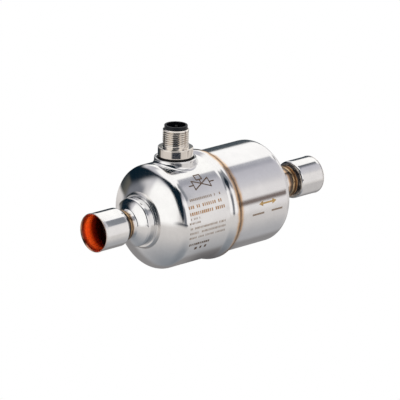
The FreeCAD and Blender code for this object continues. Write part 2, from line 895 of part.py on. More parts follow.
def make_spider():
    """The sprung star that centres the motor's front end in the shell and lets the flow by."""
    body = new_body("front_spider")
    station = can_front + can_corner + arm_gap
    ring = new_sketch(body, "YZ_Plane", station)
    draw_circles(ring, can_radius, [(0, 0)])
    draw_circles(ring, can_radius + arm_ring, [(0, 0)])
    pad(body, ring, arm_thickness)
    arm = new_sketch(body, "YZ_Plane", station)
    half = arm_width / 2
    inside = front_radius - wall - arm_gap
    draw_outline(arm, rectangle(-half, leg(can_radius + arm_ring / 2, half), half, leg(inside, half)))
    repeat_round(body, pad(body, arm, arm_thickness), arm_count)


def claw_body(label, path, claw_start, claw_end, angle):
    """A pole sheet turned to shape, with the spaces between its claws cut away."""
    body = new_body(label)
    turned(body, path)
    pitch = 2 * math.pi / pole_count
    space = (pole_radius + pole_sheet / 2) * pitch
    root_half = (space - claw_root) / 2
    tip_half = (space - claw_tip) / 2
    notch = new_sketch(body, "XY_Plane")
    draw_outline(notch, [
        (claw_start, -root_half),
        (claw_end, -tip_half),
        (claw_end, tip_half),
        (claw_start, root_half),
    ])
    cut = pocket(body, notch, pole_radius + 2 * pole_sheet, up=True)
    repeat_round(body, cut, pole_count)
    body.Placement = FreeCAD.Placement(FreeCAD.Vector(), FreeCAD.Rotation(FreeCAD.Vector(1, 0, 0), angle))


def make_stator(name, side, angle):
    """One phase of the motor: two clawed pole sheets round a wound bobbin."""
    def at(depth):
        return connector_x + side * linked(depth)

    claw_skin = pole_radius + pole_sheet
    cup_inside = stator_radius - pole_sheet
    floor = stator_length - pole_sheet
    tip = pole_sheet + claw_gap
    overrun = claw_gap / 2
    claw_body(name + "_stator_cup", [
        (at(0), stator_radius),
        (at(stator_length), stator_radius),
        (at(stator_length), pole_radius),
        (at(tip), pole_radius),
        (at(tip), claw_skin),
        (at(floor), claw_skin),
        (at(floor), cup_inside),
        (at(0), cup_inside),
    ], at(floor), at(tip - overrun), angle)
    sheet_edge = cup_inside - stator_clearance
    claw_body(name + "_stator_plate", [
        (at(0), pole_radius),
        (at(0), sheet_edge),
        (at(pole_sheet), sheet_edge),
        (at(pole_sheet), claw_skin),
        (at(floor - claw_gap), claw_skin),
        (at(floor - claw_gap), pole_radius),
    ], at(pole_sheet), at(floor - claw_gap + overrun), angle + 180 / pole_count)
    bobbin = new_body(name + "_bobbin")
    near = pole_sheet + coil_gap
    far = floor - coil_gap
    bobbin_bore = claw_skin + coil_gap
    bobbin_rim = cup_inside - coil_gap
    core = bobbin_bore + bobbin_wall
    turned(bobbin, [
        (at(near), bobbin_bore),
        (at(near), bobbin_rim),
        (at(near + bobbin_wall), bobbin_rim),
        (at(near + bobbin_wall), core),
        (at(far - bobbin_wall), core),
        (at(far - bobbin_wall), bobbin_rim),
        (at(far), bobbin_rim),
        (at(far), bobbin_bore),
    ])
    winding = new_body(name + "_winding")
    turned(winding, rectangle(at(near + bobbin_wall), core, at(far - bobbin_wall), bobbin_rim - winding_gap))


def make_rotor():
    magnet = new_body("rotor_magnet")
    turned(magnet, rectangle(connector_x - rotor_half, hub_rim, connector_x + rotor_half, magnet_radius))
    hub = new_body("rotor_hub")
    flange = hub_rim + magnet_wall / 2
    turned(hub, [
        (connector_x - rotor_half - hub_flange, spindle_radius),
        (connector_x - rotor_half - hub_flange, flange),
        (connector_x - rotor_half, flange),
        (connector_x - rotor_half, hub_rim),
        (connector_x + rotor_half, hub_rim),
        (connector_x + rotor_half, spindle_radius),
    ])
    spindle = new_body("spindle")
    front_tip = can_front - boss_length + can_gap
    journal_end = can_front + can_wall + can_gap
    collar_back = bearing_seat - bearing_width
    collar_rim = spindle_radius + spindle_collar
    tip = piston_shut + piston_web + nut_tail + spindle_reach
    point = spindle_radius / 4
    turned(spindle, [
        (front_tip, nothing),
        (front_tip, journal_radius),
        (journal_end, journal_radius),
        (journal_end, spindle_radius),
        (collar_back - 2 * spindle_collar, spindle_radius),
        (collar_back - 2 * spindle_collar, collar_rim),
        (collar_back, collar_rim),
        (collar_back, spindle_radius),
        (tip - point, spindle_radius),
        (tip, spindle_radius - point),
        (tip, nothing),
    ])


def make_bearing():
    """The deep-groove ball bearing that takes the spindle's thrust."""
    front = bearing_seat - bearing_width
    middle = bearing_seat - bearing_width / 2
    inner_rim = ball_circle - race_shoulder
    outer_rim = ball_circle + race_shoulder
    race_half = leg(ball_radius + ball_play, race_shoulder)

    def ring(label, edge, face):
        body = new_body(label)
        turned(body, [
            (front, edge),
            (front, face),
            (middle - race_half, face),
            Arc((middle, ball_circle), (middle + race_half, face)),
            (bearing_seat, face),
            (bearing_seat, edge),
        ])

    ring("bearing_inner_ring", spindle_radius, inner_rim)
    ring("bearing_outer_ring", bearing_radius, outer_rim)
    balls = new_body("bearing_balls")
    ball = balls.newObject("PartDesign::AdditiveSphere", "bearing_ball")
    ball.AttachmentSupport = [(origin_feature(balls, "YZ_Plane"), "")]
    ball.MapMode = "FlatFace"
    ball.setExpression("AttachmentOffset.Base.z", middle.formula)
    ball.setExpression("AttachmentOffset.Base.x", ball_circle.formula)
    ball.setExpression("Radius", ball_radius.formula)
    repeat_round(balls, ball, ball_count)
    cage = new_body("bearing_cage")
    half = ball_cage_width / 2
    inner_edge = inner_rim + ball_cage_gap
    turned(cage, rectangle(middle - half, inner_edge, middle + half, outer_rim - ball_cage_gap))
    window = new_sketch(cage, "XY_Plane")
    draw_circles(window, ball_radius + ball_pocket_play, [(middle, 0)])
    repeat_round(cage, pocket(cage, window, outer_rim, up=True), ball_count)


def make_motor_flange():
    body = new_body("motor_flange")
    register = motor_face - register_length
    turned(body, [
        (register, bearing_radius),
        (register, stator_radius),
        (motor_face, stator_radius),
        (motor_face, flange_radius),
        (flange_back, flange_radius),
        (flange_back, spindle_radius + spindle_hole_gap),
        (bearing_seat + bearing_relief, spindle_radius + spindle_hole_gap),
        (bearing_seat + bearing_relief, ball_circle + race_shoulder),
        (bearing_seat, ball_circle + race_shoulder),
        (bearing_seat, bearing_radius),
    ])
    screw_holes = new_sketch(body, "YZ_Plane", flange_back)
    draw_circles(screw_holes, screw_radius, ring_places(screw_circle, screw_count, math.pi / 4))
    pocket(body, screw_holes, screw_depth)
    rod_holes = new_sketch(body, "YZ_Plane", flange_back)
    draw_circles(rod_holes, rod_radius, ring_places(rod_circle, 2))
    pocket(body, rod_holes, rod_depth)


def make_screws():
    body = new_body("motor_screws")
    places = ring_places(screw_circle, screw_count, math.pi / 4)
    heads = new_sketch(body, "YZ_Plane", cage_face)
    draw_circles(heads, screw_head_radius, places)
    pad(body, heads, screw_head_height)
    shanks = new_sketch(body, "YZ_Plane", cage_face)
    draw_circles(shanks, screw_radius, places)
    pad(body, shanks, cage_flange + screw_depth, down=True)
    drives = new_sketch(body, "YZ_Plane", cage_face + screw_head_height)
    corner = screw_drive / (2 * math.cos(math.pi / 6))
    for place in places:
        draw_outline(drives, [(place[0] + x, place[1] + y) for x, y in ring_places(corner, 6)])
    pocket(body, drives, screw_drive_depth)


def make_guide_rods():
    body = new_body("guide_rods")
    foot = flange_back - rod_depth
    rods = new_sketch(body, "YZ_Plane", foot)
    draw_circles(rods, rod_radius, ring_places(rod_circle, 2))
    pad(body, rods, piston_shut + piston_web + rod_reach - foot)


def make_port_sleeve():
    """The cage: a flanged tube whose V-shaped ports meter the flow as the piston draws back."""
    body = new_body("port_sleeve")
    turned(body, [
        (flange_back, sleeve_bore),
        (flange_back, flange_radius),
        (cage_face, flange_radius),
        (cage_face, cage_radius),
        (cage_end, cage_radius),
        (cage_end, sleeve_bore),
    ])
    screw_holes = new_sketch(body, "YZ_Plane", cage_face)
    places = ring_places(screw_circle, screw_count, math.pi / 4)
    draw_circles(screw_holes, screw_radius + screw_clearance, places)
    pocket(body, screw_holes, cage_flange)
    port = new_sketch(body, "XY_Plane")
    wide = port_width / 2
    narrow = port_tip / 2
    shoulder = port_start + port_straight
    draw_outline(port, [
        (port_start, -wide),
        (shoulder, -wide),
        (port_end, -narrow),
        (port_end, narrow),
        (shoulder, wide),
        (port_start, wide),
    ])
    cut = pocket(body, port, cage_radius + cage_wall, up=True)
    repeat_round(body, cut, port_count)


def make_seat_ring():
    body = new_body("seat_ring")
    inner = sleeve_bore - seat_width
    turned(body, [
        (cage_end, inner + seat_edge),
        (cage_end, sleeve_bore),
        (seat_end, sleeve_bore),
        (seat_end, inner),
        (cage_end + seat_edge, inner),
    ])


def make_piston():
    body = new_body("piston")
    lip_floor = lip_shut - piston_lip
    web_end = piston_shut + piston_web
    seal_start = piston_shut + groove_start
    seal_finish = seal_start + groove_width
    turned(body, [
        (piston_shut, nut_radius),
        (piston_shut, piston_radius),
        (seal_start, piston_radius),
        (seal_start, piston_radius - groove_depth),
        (seal_finish, piston_radius - groove_depth),
        (seal_finish, piston_radius),
        (lip_floor, piston_radius),
        (lip_shut, piston_radius - piston_lip / 2),
        (lip_shut, piston_cavity + piston_lip / 2),
        (lip_floor, piston_cavity),
        (web_end, piston_cavity),
        (web_end, nut_radius),
    ])
    rod_holes = new_sketch(body, "YZ_Plane", web_end)
    draw_circles(rod_holes, rod_radius + rod_clearance, ring_places(rod_circle, 2))
    draw_circles(rod_holes, rod_radius, ring_places(rod_circle, 2, math.pi / 2))
    pocket(body, rod_holes, piston_web)
    seal = new_body("piston_seal")
    groove_floor = piston_radius - groove_depth
    turned(seal, rectangle(seal_start, groove_floor, seal_finish, sleeve_bore - seal_clearance))
    nut = new_body("spindle_nut")
    nut_bore = spindle_radius + nut_clearance
    turned(nut, [
        (piston_shut - nut_flange_length, nut_bore),
        (piston_shut - nut_flange_length, nut_radius + nut_flange),
        (piston_shut, nut_radius + nut_flange),
        (piston_shut, nut_radius),
        (web_end + nut_tail, nut_radius),
        (web_end + nut_tail, nut_bore),
    ])


make_front_shell()
make_rear_shell()
make_girth_weld()
make_seam_weld("inlet_seam_weld", -1, inlet_root, front_head)
make_seam_weld("outlet_seam_weld", 1, outlet_root, rear_head)
make_adapters()
make_socket("inlet", -1, nothing, inlet_neck_length)
make_socket("outlet", 1, outlet_mouth, outlet_neck_length)
make_connector_shell()
make_connector_insert()
make_contacts()
make_o_ring()
make_lead()
make_motor_can()
make_spider()
make_stator("front", -1, 0)
make_stator("rear", 1, 90 / pole_count)
make_rotor()
make_bearing()
make_motor_flange()
make_screws()
make_guide_rods()
make_port_sleeve()
make_seat_ring()
make_piston()
document.recompute()

for item in document.Objects:
    if "Invalid" in item.State or "Error" in item.State:
        raise RuntimeError(f"{item.Label} failed: {item.State}")
    if item.TypeId in ("PartDesign::Pocket", "PartDesign::Groove"):
        if item.Shape.Volume > item.BaseFeature.Shape.Volume - 0.001:
            raise RuntimeError(f"{item.Label} cuts nothing")

os.makedirs("parts", exist_ok=True)
for body in bodies:
    shape = body.Shape
    if shape.isNull() or not shape.isValid():
        raise RuntimeError(f"{body.Label} has no valid shape")
    shape.exportStep(f"parts/{body.Label}.step")
    box = shape.BoundBox
    print(f"{body.Label}: {len(shape.Solids)} solid, {shape.Volume:.1f} mm3, "
          f"x {box.XMin:.2f} to {box.XMax:.2f}, z {box.ZMin:.2f} to {box.ZMax:.2f}")
print(f"{len(bodies)} sub-parts, {outlet_mouth.value:.3f} mm long, connector at {connector_x.value:.3f} mm")
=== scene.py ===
import bpy
import bmesh
import json
from math import asin, atan2, ceil, cos, degrees, dist, hypot, pi, radians, sin, sqrt, tan
from mathutils import Matrix, Vector
from types import SimpleNamespace as Sizes


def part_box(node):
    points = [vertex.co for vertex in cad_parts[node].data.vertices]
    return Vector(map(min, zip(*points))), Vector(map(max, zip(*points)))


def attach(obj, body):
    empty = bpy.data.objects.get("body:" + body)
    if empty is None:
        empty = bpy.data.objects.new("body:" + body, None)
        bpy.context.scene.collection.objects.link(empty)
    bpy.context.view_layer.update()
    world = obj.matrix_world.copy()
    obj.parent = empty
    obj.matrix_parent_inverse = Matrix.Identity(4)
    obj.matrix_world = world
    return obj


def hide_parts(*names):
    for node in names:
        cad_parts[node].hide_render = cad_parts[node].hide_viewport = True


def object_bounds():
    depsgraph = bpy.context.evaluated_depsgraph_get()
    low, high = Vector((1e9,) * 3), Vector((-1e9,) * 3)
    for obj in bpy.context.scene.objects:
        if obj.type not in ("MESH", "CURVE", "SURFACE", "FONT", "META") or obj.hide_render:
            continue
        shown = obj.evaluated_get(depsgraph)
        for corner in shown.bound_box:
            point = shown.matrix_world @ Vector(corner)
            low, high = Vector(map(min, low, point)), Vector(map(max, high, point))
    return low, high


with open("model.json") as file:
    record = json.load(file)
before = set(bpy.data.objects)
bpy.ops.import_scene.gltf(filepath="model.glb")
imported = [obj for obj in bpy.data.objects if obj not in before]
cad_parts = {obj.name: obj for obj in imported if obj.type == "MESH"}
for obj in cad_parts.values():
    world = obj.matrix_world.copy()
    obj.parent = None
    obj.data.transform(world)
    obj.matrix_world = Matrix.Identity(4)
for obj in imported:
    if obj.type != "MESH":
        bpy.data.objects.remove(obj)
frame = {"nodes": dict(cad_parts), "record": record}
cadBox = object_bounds()
mm = 0.001
print("frame loaded:", len(frame["nodes"]), "CAD nodes")


def nodeBox(node):
    # lowest and highest corner of a CAD node, in mm
    low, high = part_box(node)
    return low / mm, high / mm


def evenly(start, end, steps):
    return [start + (end - start) * step / steps for step in range(steps + 1)]


shellLow, shellHigh = nodeBox("connector_shell")
connectorX = ((shellLow + shellHigh) / 2).x
outletMouth = nodeBox("outlet_liner")[1].x


# Camera

cameraSetup = {
    "turn": 44.043,      # degrees round the valve from its near side
    "height": 17.774,
    "roll": 1.328,
    "distance": 1700.7,  # mm from the aim
    "lens": 332.0,
    "right": 11.88,      # the aim's shift from the connector's axis, mm
    "up": 5.137,
}


def link(thing):
    bpy.context.collection.objects.link(thing)
    return thing


def makeCamera():
    turn, height, roll = (radians(cameraSetup[key]) for key in ("turn", "height", "roll"))
    level = cos(height)
    back = Vector((-sin(turn) * level, -cos(turn) * level, sin(height)))
    across = Vector((cos(turn), -sin(turn), 0))
    above = back.cross(across)
    right = across * cos(roll) + above * sin(roll)
    up = above * cos(roll) - across * sin(roll)
    aim = Vector((connectorX, 0, 0)) + right * cameraSetup["right"] + up * cameraSetup["up"]
    data = bpy.data.cameras.new("camera")
    data.lens = cameraSetup["lens"]
    data.sensor_width = 36
    data.clip_start = 0.05
    data.clip_end = 50
    camera = link(bpy.data.objects.new("camera", data))
    matrix = Matrix((right, up, back)).transposed().to_4x4()
    matrix.translation = (aim + back * cameraSetup["distance"]) * mm
    camera.matrix_world = matrix
    bpy.context.scene.camera = camera


# Nodes

class Port:
    # a node's output, so that sums can be written out
    def __init__(self, socket):
        self.socket = socket
        self.tree = socket.id_data

    def __add__(self, other):
        return calc("ADD", self, other)

    def __sub__(self, other):
        return calc("SUBTRACT", self, other)

    def __rsub__(self, other):
        return calc("SUBTRACT", other, self)

    def __mul__(self, other):
        return calc("MULTIPLY", self, other)

    def __truediv__(self, other):
        return calc("DIVIDE", self, other)

    def __abs__(self):
        return calc("ABSOLUTE", self)

    __rmul__ = __mul__


def setInput(node, key, value):
    socket = node.inputs[key]
    if isinstance(value, Port):
        node.id_data.links.new(value.socket, socket)
    elif socket.type == "RGBA":
        socket.default_value = (*value[:3], 1)
    else:
        socket.default_value = value


def addNode(tree, kind, sockets=None, **settings):
    node = tree.nodes.new(kind)
    for key, value in settings.items():
        setattr(node, key, value)
    for key, value in (sockets or {}).items():
        setInput(node, key, value)
    return node


def port(tree, kind, sockets=None, output=0, **settings):
    return Port(addNode(tree, kind, sockets, **settings).outputs[output])


def parts(vector):
    return [Port(output) for output in addNode(vector.tree, "ShaderNodeSeparateXYZ", {0: vector}).outputs]


def treeOf(values):
    return next(value.tree for value in values if isinstance(value, Port))


def calc(operation, *values):
    return port(treeOf(values), "ShaderNodeMath", dict(enumerate(values)), operation=operation)


def vector(*values):
    return port(treeOf(values), "ShaderNodeCombineXYZ", dict(enumerate(values)))


def blend(share, first, second, how="MIX"):
    values = {0: share, 6: first, 7: second}
    return port(treeOf(values.values()), "ShaderNodeMix", values, 2, data_type="RGBA", blend_type=how)


def ramp(value, low, high, first=0.0, last=1.0, how="SMOOTHSTEP"):
    # first below low, last above high
    sockets = {"Value": value, "From Min": low, "From Max": high, "To Min": first, "To Max": last}
    return port(value.tree, "ShaderNodeMapRange", sockets, "Result", interpolation_type=how)


def line(value, low, high, first=0.0, last=1.0):
    return ramp(value, low, high, first, last, "LINEAR")


def window(value, low, high, soft, softHigh):
    # 1 from low to high, with a soft edge inside each
    return ramp(value, low, low + soft) * ramp(value, high - softHigh, high, 1, 0)


def colourStops(value, stops):
    node = addNode(value.tree, "ShaderNodeValToRGB", {"Fac": value})
    points = node.color_ramp.elements
    while len(points) < len(stops):
        points.new(0.5)
    for point, (place, colour) in zip(points, stops):
        point.position = place
        point.color = (*colour[:3], 1)
    return Port(node.outputs["Color"])


def noise(where, scale, detail=3.0, roughness=0.5):
    sockets = {"Vector": where, "Scale": scale, "Detail": detail, "Roughness": roughness}
    return port(where.tree, "ShaderNodeTexNoise", sockets, "Fac")


def tone(colour, gain=1.0):
    # a colour as seen on a screen, 0 to 255, as light
    def light(value):
        share = value / 255
        return gain * (share / 12.92 if share <= 0.04045 else ((share + 0.055) / 1.055) ** 2.4)
    return [light(value) for value in colour]


# Studio

studio = {
    "steelReturns": 0.80,   # the share of the light that comes back from the steel
    "background": (255, 255, 255),
    # as seen in the steel, from straight down to straight up
    "layers": [(-90, (118, 123, 129)), (-62, (134, 138, 143)), (-48, (164, 164, 166)), (-32, (197, 194, 192)),
               (-14, (208, 204, 201)), (0, (206, 203, 202)), (18, (211, 208, 208)), (34, (194, 193, 198)),
               (46, (182, 181, 188)), (52, (186, 185, 190)), (61, (250, 249, 248)), (90, (252, 251, 250))],
    # soft-edged panels: turn and height of the middle, half widths, edge, colour
    "panels": {
        "backLight": (28, 43, 35, 26, 6, (252, 251, 249)),
        "leftWindow": (175, 11, 26, 24, 9, (252, 251, 249)),
        "frontFill": (-46, 3, 13, 19, 12, (223, 220, 219)),
        "nearFill": (-84, 14, 21, 24, 12, (244, 242, 241)),
        "farFloor": (56, -44, 46, 24, 20, (132, 130, 130)),
        "leftDusk": (-118, 8, 13, 19, 12, (104, 107, 114)),
        "rightDusk": (119, 3, 20, 17, 12, (112, 114, 121)),
        "ledge": (-13, 48, 13, 2.4, 4, (146, 147, 156)),
        "farSide": (46, 4, 10, 15, 7, (66, 74, 80)),
    },
    # a dark curtain round the back: turn, height of its middle, half its height
    "curtain": {"colour": (9, 27, 38), "edge": 11, "line": [
        (-180, 51, 15), (-168, 47, 20), (-156, 36, 31), (-144, 29, 37), (-132, 32, 35), (-121, 46, 22),
        (-108, 56, 15), (-96, 57, 10), (-84, 55, 4), (-66, 53, -2), (-48, 50, -6), (42, -9, -8), (49, -5, 1),
        (55, -1, 6), (66, 7, 13), (78, 11, 15), (90, 15, 17), (102, 20, 18), (114, 26, 15), (126, 32, 11),
        (138, 38, 7), (150, 44, 5), (162, 48, 9), (172, 50, 12), (180, 50, 14)]},
}
steelGain = 1 / studio["steelReturns"]
degree = 180 / pi


def curtainCurve(turn, which, span, offset):
    # one of the curtain's two heights by the turn
    rows = studio["curtain"]["line"]
    curve = addNode(turn.tree, "ShaderNodeFloatCurve", {"Value": line(turn, -180, 180)})
    points = curve.mapping.curves[0].points
    while len(points) < len(rows):
        points.new(0.5, 0.5)
    for point, row in zip(points, rows):
        point.location = ((row[0] + 180) / 360, (row[which] + offset) / span)
        point.handle_type = "VECTOR"
    curve.mapping.update()
    return Port(curve.outputs[0]) * span - offset


def makeWorld():
    world = bpy.data.worlds.new("studio")
    bpy.context.scene.world = world
    world.use_nodes = True
    tree = world.node_tree
    tree.nodes.clear()
    x, y, z = parts(port(tree, "ShaderNodeTexCoord", output="Generated"))
    turn = calc("ARCTAN2", y, x) * degree
    height = calc("ARCSINE", z) * degree
    stops = [((place + 90) / 180, tone(colour)) for place, colour in studio["layers"]]
    light = blend(1.0, colourStops(line(height, -90, 90), stops), [steelGain] * 3, "MULTIPLY")
    for middleTurn, middleHeight, halfTurn, halfHeight, edge, colour in studio["panels"].values():
        mask = 1.0
        for value, middle, half in ((turn, middleTurn, halfTurn), (height, middleHeight, halfHeight)):
            away = abs(calc("WRAP", value - middle, 180, -180))
            mask = mask * ramp(away, half - edge / 2, half + edge / 2, 1, 0)
        light = blend(mask, light, tone(colour, steelGain))
    curtain = studio["curtain"]
    away = abs(height - curtainCurve(turn, 1, 180, 90)) - curtainCurve(turn, 2, 90, 0)
    edge = curtain["edge"] / 2
    light = blend(ramp(away, -edge, edge, 1, 0), light, tone(curtain["colour"], steelGain))
    lit = port(tree, "ShaderNodeBackground", {"Color": light})
    seen = port(tree, "ShaderNodeBackground", {"Color": tone(studio["background"])})
    eye = port(tree, "ShaderNodeLightPath", output="Is Camera Ray")
    either = port(tree, "ShaderNodeMixShader", {0: eye, 1: lit, 2: seen})
    addNode(tree, "ShaderNodeOutputWorld", {"Surface": either})
    world.cycles.sampling_method = "MANUAL"
    world.cycles.sample_map_resolution = 1024
    bpy.context.scene.view_settings.view_transform = "Standard"


floorSetup = {"gap": 0.25, "side": 4000, "light": 1.0}
# cards that only the metal mirrors, in mm: middle, size, turn, whether it lies flat, colour, and the width of
# the soft edge on the left, right, near and far side
cards = {
    # shade_card is a painted shadow: a dark sheet on the floor under the front shell, where the valve's own
    # shadow falls
    "shade_card": ((67, 2, -26.1), (40, 56), 0, True, (92, 90, 91), (14, 14, 19, 19)),
    "bounce_card": ((166, -25, -26.15), (62, 66), 0, True, (184, 181, 180), (14, 14, 18, 16)),
    "streak_card": ((138, -76, 5.5), (60, 21), 0, False, (110, 98, 94), (8, 16, 8, 9)),
    "rim_card": ((172, -11, 60), (44, 24), 10, True, (104, 106, 112), (5, 5, 14, 3)),
    "top_card": ((53, -12, 60), (36, 25), 0, True, (249, 248, 247), (4, 4, 2, 4)),
    "cup_card": ((76, -59, 60.2), (32, 84), 35, True, (126, 129, 135), (9, 10, 22, 7)),
}
# arcs round the connector that only the metal mirrors: radius and height in mm, ends and colours in degrees
# round its axis; the soft ends run in towards the first and last colour
arcCards = {
    "floor_arc": {"inner": (148, -26.3), "outer": (234, -26.3), "soft": 16, "ends": (-164, -94),
                  "stops": [(-151, (34, 42, 54)), (-104, (34, 42, 54))]},
    "floor_arc_far": {"inner": (148, -26.3), "outer": (234, -26.3), "soft": 16, "ends": (-6, 66),
                      "stops": [(8, (128, 128, 126)), (46, (120, 120, 118))]},
    "side_arc": {"inner": (60, 2), "outer": (60, 24), "soft": 5, "ends": (52, 127),
                 "stops": [(60, (32, 38, 46)), (92, (24, 34, 44)), (104, (60, 64, 64)), (117, (92, 90, 84))]},
}
arcStep = 3   # degrees
# a small lamp that shines into the inlet's cup, mm; the metal doesn't mirror it
cupLamp = {"middle": (-42, -92, 22), "size": (44, 44), "turn": -28, "colour": (255, 244, 232), "strength": 13}


def emptyMaterial(name):
    material = bpy.data.materials.new(name)
    material.use_nodes = True
    material.node_tree.nodes.clear()
    return material, material.node_tree


unitSheet = ([(-0.5, -0.5, 0), (0.5, -0.5, 0), (0.5, 0.5, 0), (-0.5, 0.5, 0)], [(0, 1, 2, 3)])


def newPiece(name, points, faces, material):
    mesh = bpy.data.meshes.new(name)
    mesh.from_pydata(points, [], faces)
    mesh.materials.append(material)
    return link(bpy.data.objects.new(name, mesh))


def hangSheet(name, shader, material, middle, size, turn=0.0, flat=True, shape=unitSheet):
    # a sheet that neither lights nor shades anything until told to
    sheet = newPiece(name, *shape, material)
    sheet.location = Vector(middle) * mm
    sheet.rotation_euler = (0 if flat else pi / 2, 0, radians(turn))
    sheet.scale = (size[0] * mm, size[1] * mm, mm)
    addNode(material.node_tree, "ShaderNodeOutputMaterial", {"Surface": shader})
    sheet.visible_diffuse = False
    sheet.visible_transmission = False
    sheet.visible_shadow = False
    return sheet


def hangCard(name, material, share, light, *place):
    # a card that only the metal mirrors, clear where its share is 0
    tree = material.node_tree
    clear = port(tree, "ShaderNodeBsdfTransparent")
    paint = port(tree, "ShaderNodeEmission", {"Color": light})
    shown = port(tree, "ShaderNodeMixShader", {0: share, 1: clear, 2: paint})
    hangSheet(name, shown, material, *place).visible_camera = False


def makeFloor():
    # a plain white sheet under the valve that the eye sees and the metal doesn't
    side = floorSetup["side"]
    level = cadBox[0].z / mm - floorSetup["gap"]
    material, tree = emptyMaterial("floor_paper")
    under = port(tree, "ShaderNodeNewGeometry", output="Backfacing")
    light = {"Color": tone(studio["background"]), "Strength": floorSetup["light"]}
    paper = port(tree, "ShaderNodeEmission", light)
    clear = port(tree, "ShaderNodeBsdfTransparent")
    shown = port(tree, "ShaderNodeMixShader", {0: under, 1: paper, 2: clear})
    hangSheet("floor", shown, material, (0, 0, level), (side, side)).visible_glossy = False


def makeCards():
    for name, (middle, size, turn, flat, colour, soft) in cards.items():
        material, tree = emptyMaterial(name)
        where = parts(port(tree, "ShaderNodeTexCoord", output="Object"))
        share = 1.0
        for side in (0, 1):
            edges = [edge / size[side] for edge in soft[2 * side:2 * side + 2]]
            share = share * window(where[side], -0.5, 0.5, *edges)
        hangCard(name, material, share, tone(colour, steelGain), middle, size, turn, flat)


def makeArcCards():
    for name, form in arcCards.items():
        arc = Sizes(**form)
        first, last = arc.ends
        steps = round((last - first) / arcStep)
        points, faces = [], []
        for angle in evenly(radians(first), radians(last), steps):
            for out, height in (arc.inner, arc.outer):
                points.append((out * cos(angle), out * sin(angle), height))
        for step in range(steps):
            faces.append((2 * step, 2 * step + 1, 2 * step + 3, 2 * step + 2))
        material, tree = emptyMaterial(name)
        x, y, z = parts(port(tree, "ShaderNodeTexCoord", output="Object"))
        turn = calc("ARCTAN2", y, x) * degree
        upright = arc.inner[0] == arc.outer[0]
        across = z if upright else calc("SQRT", x * x + y * y)
        low, high = arc.inner[upright], arc.outer[upright]
        stops = [((place + 180) / 360, tone(colour, steelGain)) for place, colour in arc.stops]
        share = window(across, low, high, arc.soft, arc.soft)
        share = share * window(turn, first, last, arc.stops[0][0] - first, last - arc.stops[-1][0])
        light = colourStops(line(turn, -180, 180), stops)
        hangCard(name, material, share, light, (connectorX, 0, 0), (1, 1), 0, True, (points, faces))


def makeCupLamp():
    material, tree = emptyMaterial("cup_lamp")
    light = {"Color": tone(cupLamp["colour"]), "Strength": cupLamp["strength"]}
    glow = port(tree, "ShaderNodeEmission", light)
    lamp = hangSheet("cup_lamp", glow, material, cupLamp["middle"], cupLamp["size"], cupLamp["turn"], False)
    lamp.visible_camera = False
    lamp.visible_glossy = False
    lamp.visible_diffuse = True


makeCamera()
makeWorld()
makeFloor()
makeCards()
makeArcCards()
makeCupLamp()
print("camera, studio light and floor set")


# Shapes turned from an outline

def stationOf(item):
    return item[-2:] if item[0] == "arc" else item[:2]


def trace(outline, longest=1.5):
    # an outline in mm as close points: (along, out), (along, out, corner radius)
    # or ("arc", centre along, centre out, along, out), the shorter way round
    points = []
    shortest, finestTurn = 0.04, 12   # mm and degrees of a step round a bend

    def straight(target):
        if points:
            start = Vector(points[-1])
            steps = max(1, ceil((target - start).length / longest - 1e-6))
            points.extend(tuple(start.lerp(target, step / steps)) for step in range(1, steps + 1))
        else:
            points.append(tuple(target))

    def bend(centre, start, end):
        first = atan2(start[1] - centre[1], start[0] - centre[0])
        swing = atan2(end[1] - centre[1], end[0] - centre[0]) - first
        swing = (swing + pi) % (2 * pi) - pi
        radius = dist(centre, start)
        length = abs(swing) * radius
        steps = max(3, ceil(abs(degrees(swing)) / finestTurn), ceil(length / longest))
        steps = min(steps, max(3, ceil(length / shortest)))
        for step in range(1, steps + 1):
            angle = first + swing * step / steps
            points.append((centre[0] + radius * cos(angle), centre[1] + radius * sin(angle)))

    for place, item in enumerate(outline):
        if item[0] == "arc":
            bend(item[1:3], points[-1], item[3:5])
        elif len(item) == 3 and item[2] > 0:
            corner = Vector(item[:2])
            after = outline[(place + 1) % len(outline)]
            before = Vector(points[-1] if points else stationOf(outline[-1]))
            back = (before - corner).normalized()
            ahead = (Vector(after[:2]) - corner).normalized()
            half = back.angle(ahead) / 2
            reach = item[2] / tan(half)
            centre = corner + (back + ahead).normalized() * item[2] / sin(half)
            start = corner + back * reach
            straight(start)
            bend(centre, start, corner + ahead * reach)
        else:
            straight(Vector(item[:2]))
    return points


def finishMesh(name, points, faces, material, sharpAt=32, closed=True):
    piece = newPiece(name, points, faces, material)
    mesh = piece.data
    mesh.validate()
    build = bmesh.new()
    build.from_mesh(mesh)
    bmesh.ops.remove_doubles(build, verts=build.verts, dist=1e-7)
    if closed:
        bmesh.ops.recalc_face_normals(build, faces=build.faces)
    for face in build.faces:
        face.smooth = True
    build.to_mesh(mesh)
    build.free()
    mesh.set_sharp_from_angle(angle=radians(sharpAt))
    return piece


def lathe(name, outline, material, around=192, centre=None, longest=1.5, shape=None, sharpAt=32):
    # turns an outline round the pipe's axis, or round an upright one at centre; shape may change a radius
    points, faces, rings = [], [], []
    for along, out in trace(outline, longest):
        first = len(points)
        count = 1 if out < 1e-6 else around
        for step in range(count):
            angle = 2 * pi * step / around
            reach = 0.0 if count == 1 else shape(along, out, angle) if shape else out
            if centre is None:
                place = Vector((along, reach * sin(angle), reach * cos(angle)))
            else:
                place = Vector((centre + reach * cos(angle), reach * sin(angle), along))
            points.append(place * mm)
        rings.append([first] * around if count == 1 else list(range(first, first + around)))
    for low, high in zip(rings, rings[1:] + rings[:1]):
        if low[0] == low[1] and high[0] == high[1]:
            continue
        for step in range(around):
            after = (step + 1) % around
            corners = list(dict.fromkeys([low[step], low[after], high[after], high[step]]))
            if len(corners) > 2:
                faces.append(corners)
    return finishMesh(name, points, faces, material, sharpAt)


def place(piece, body, slot, *nodes):
    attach(piece, body)
    if nodes:
        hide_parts(*nodes)
    return piece


# Finishes

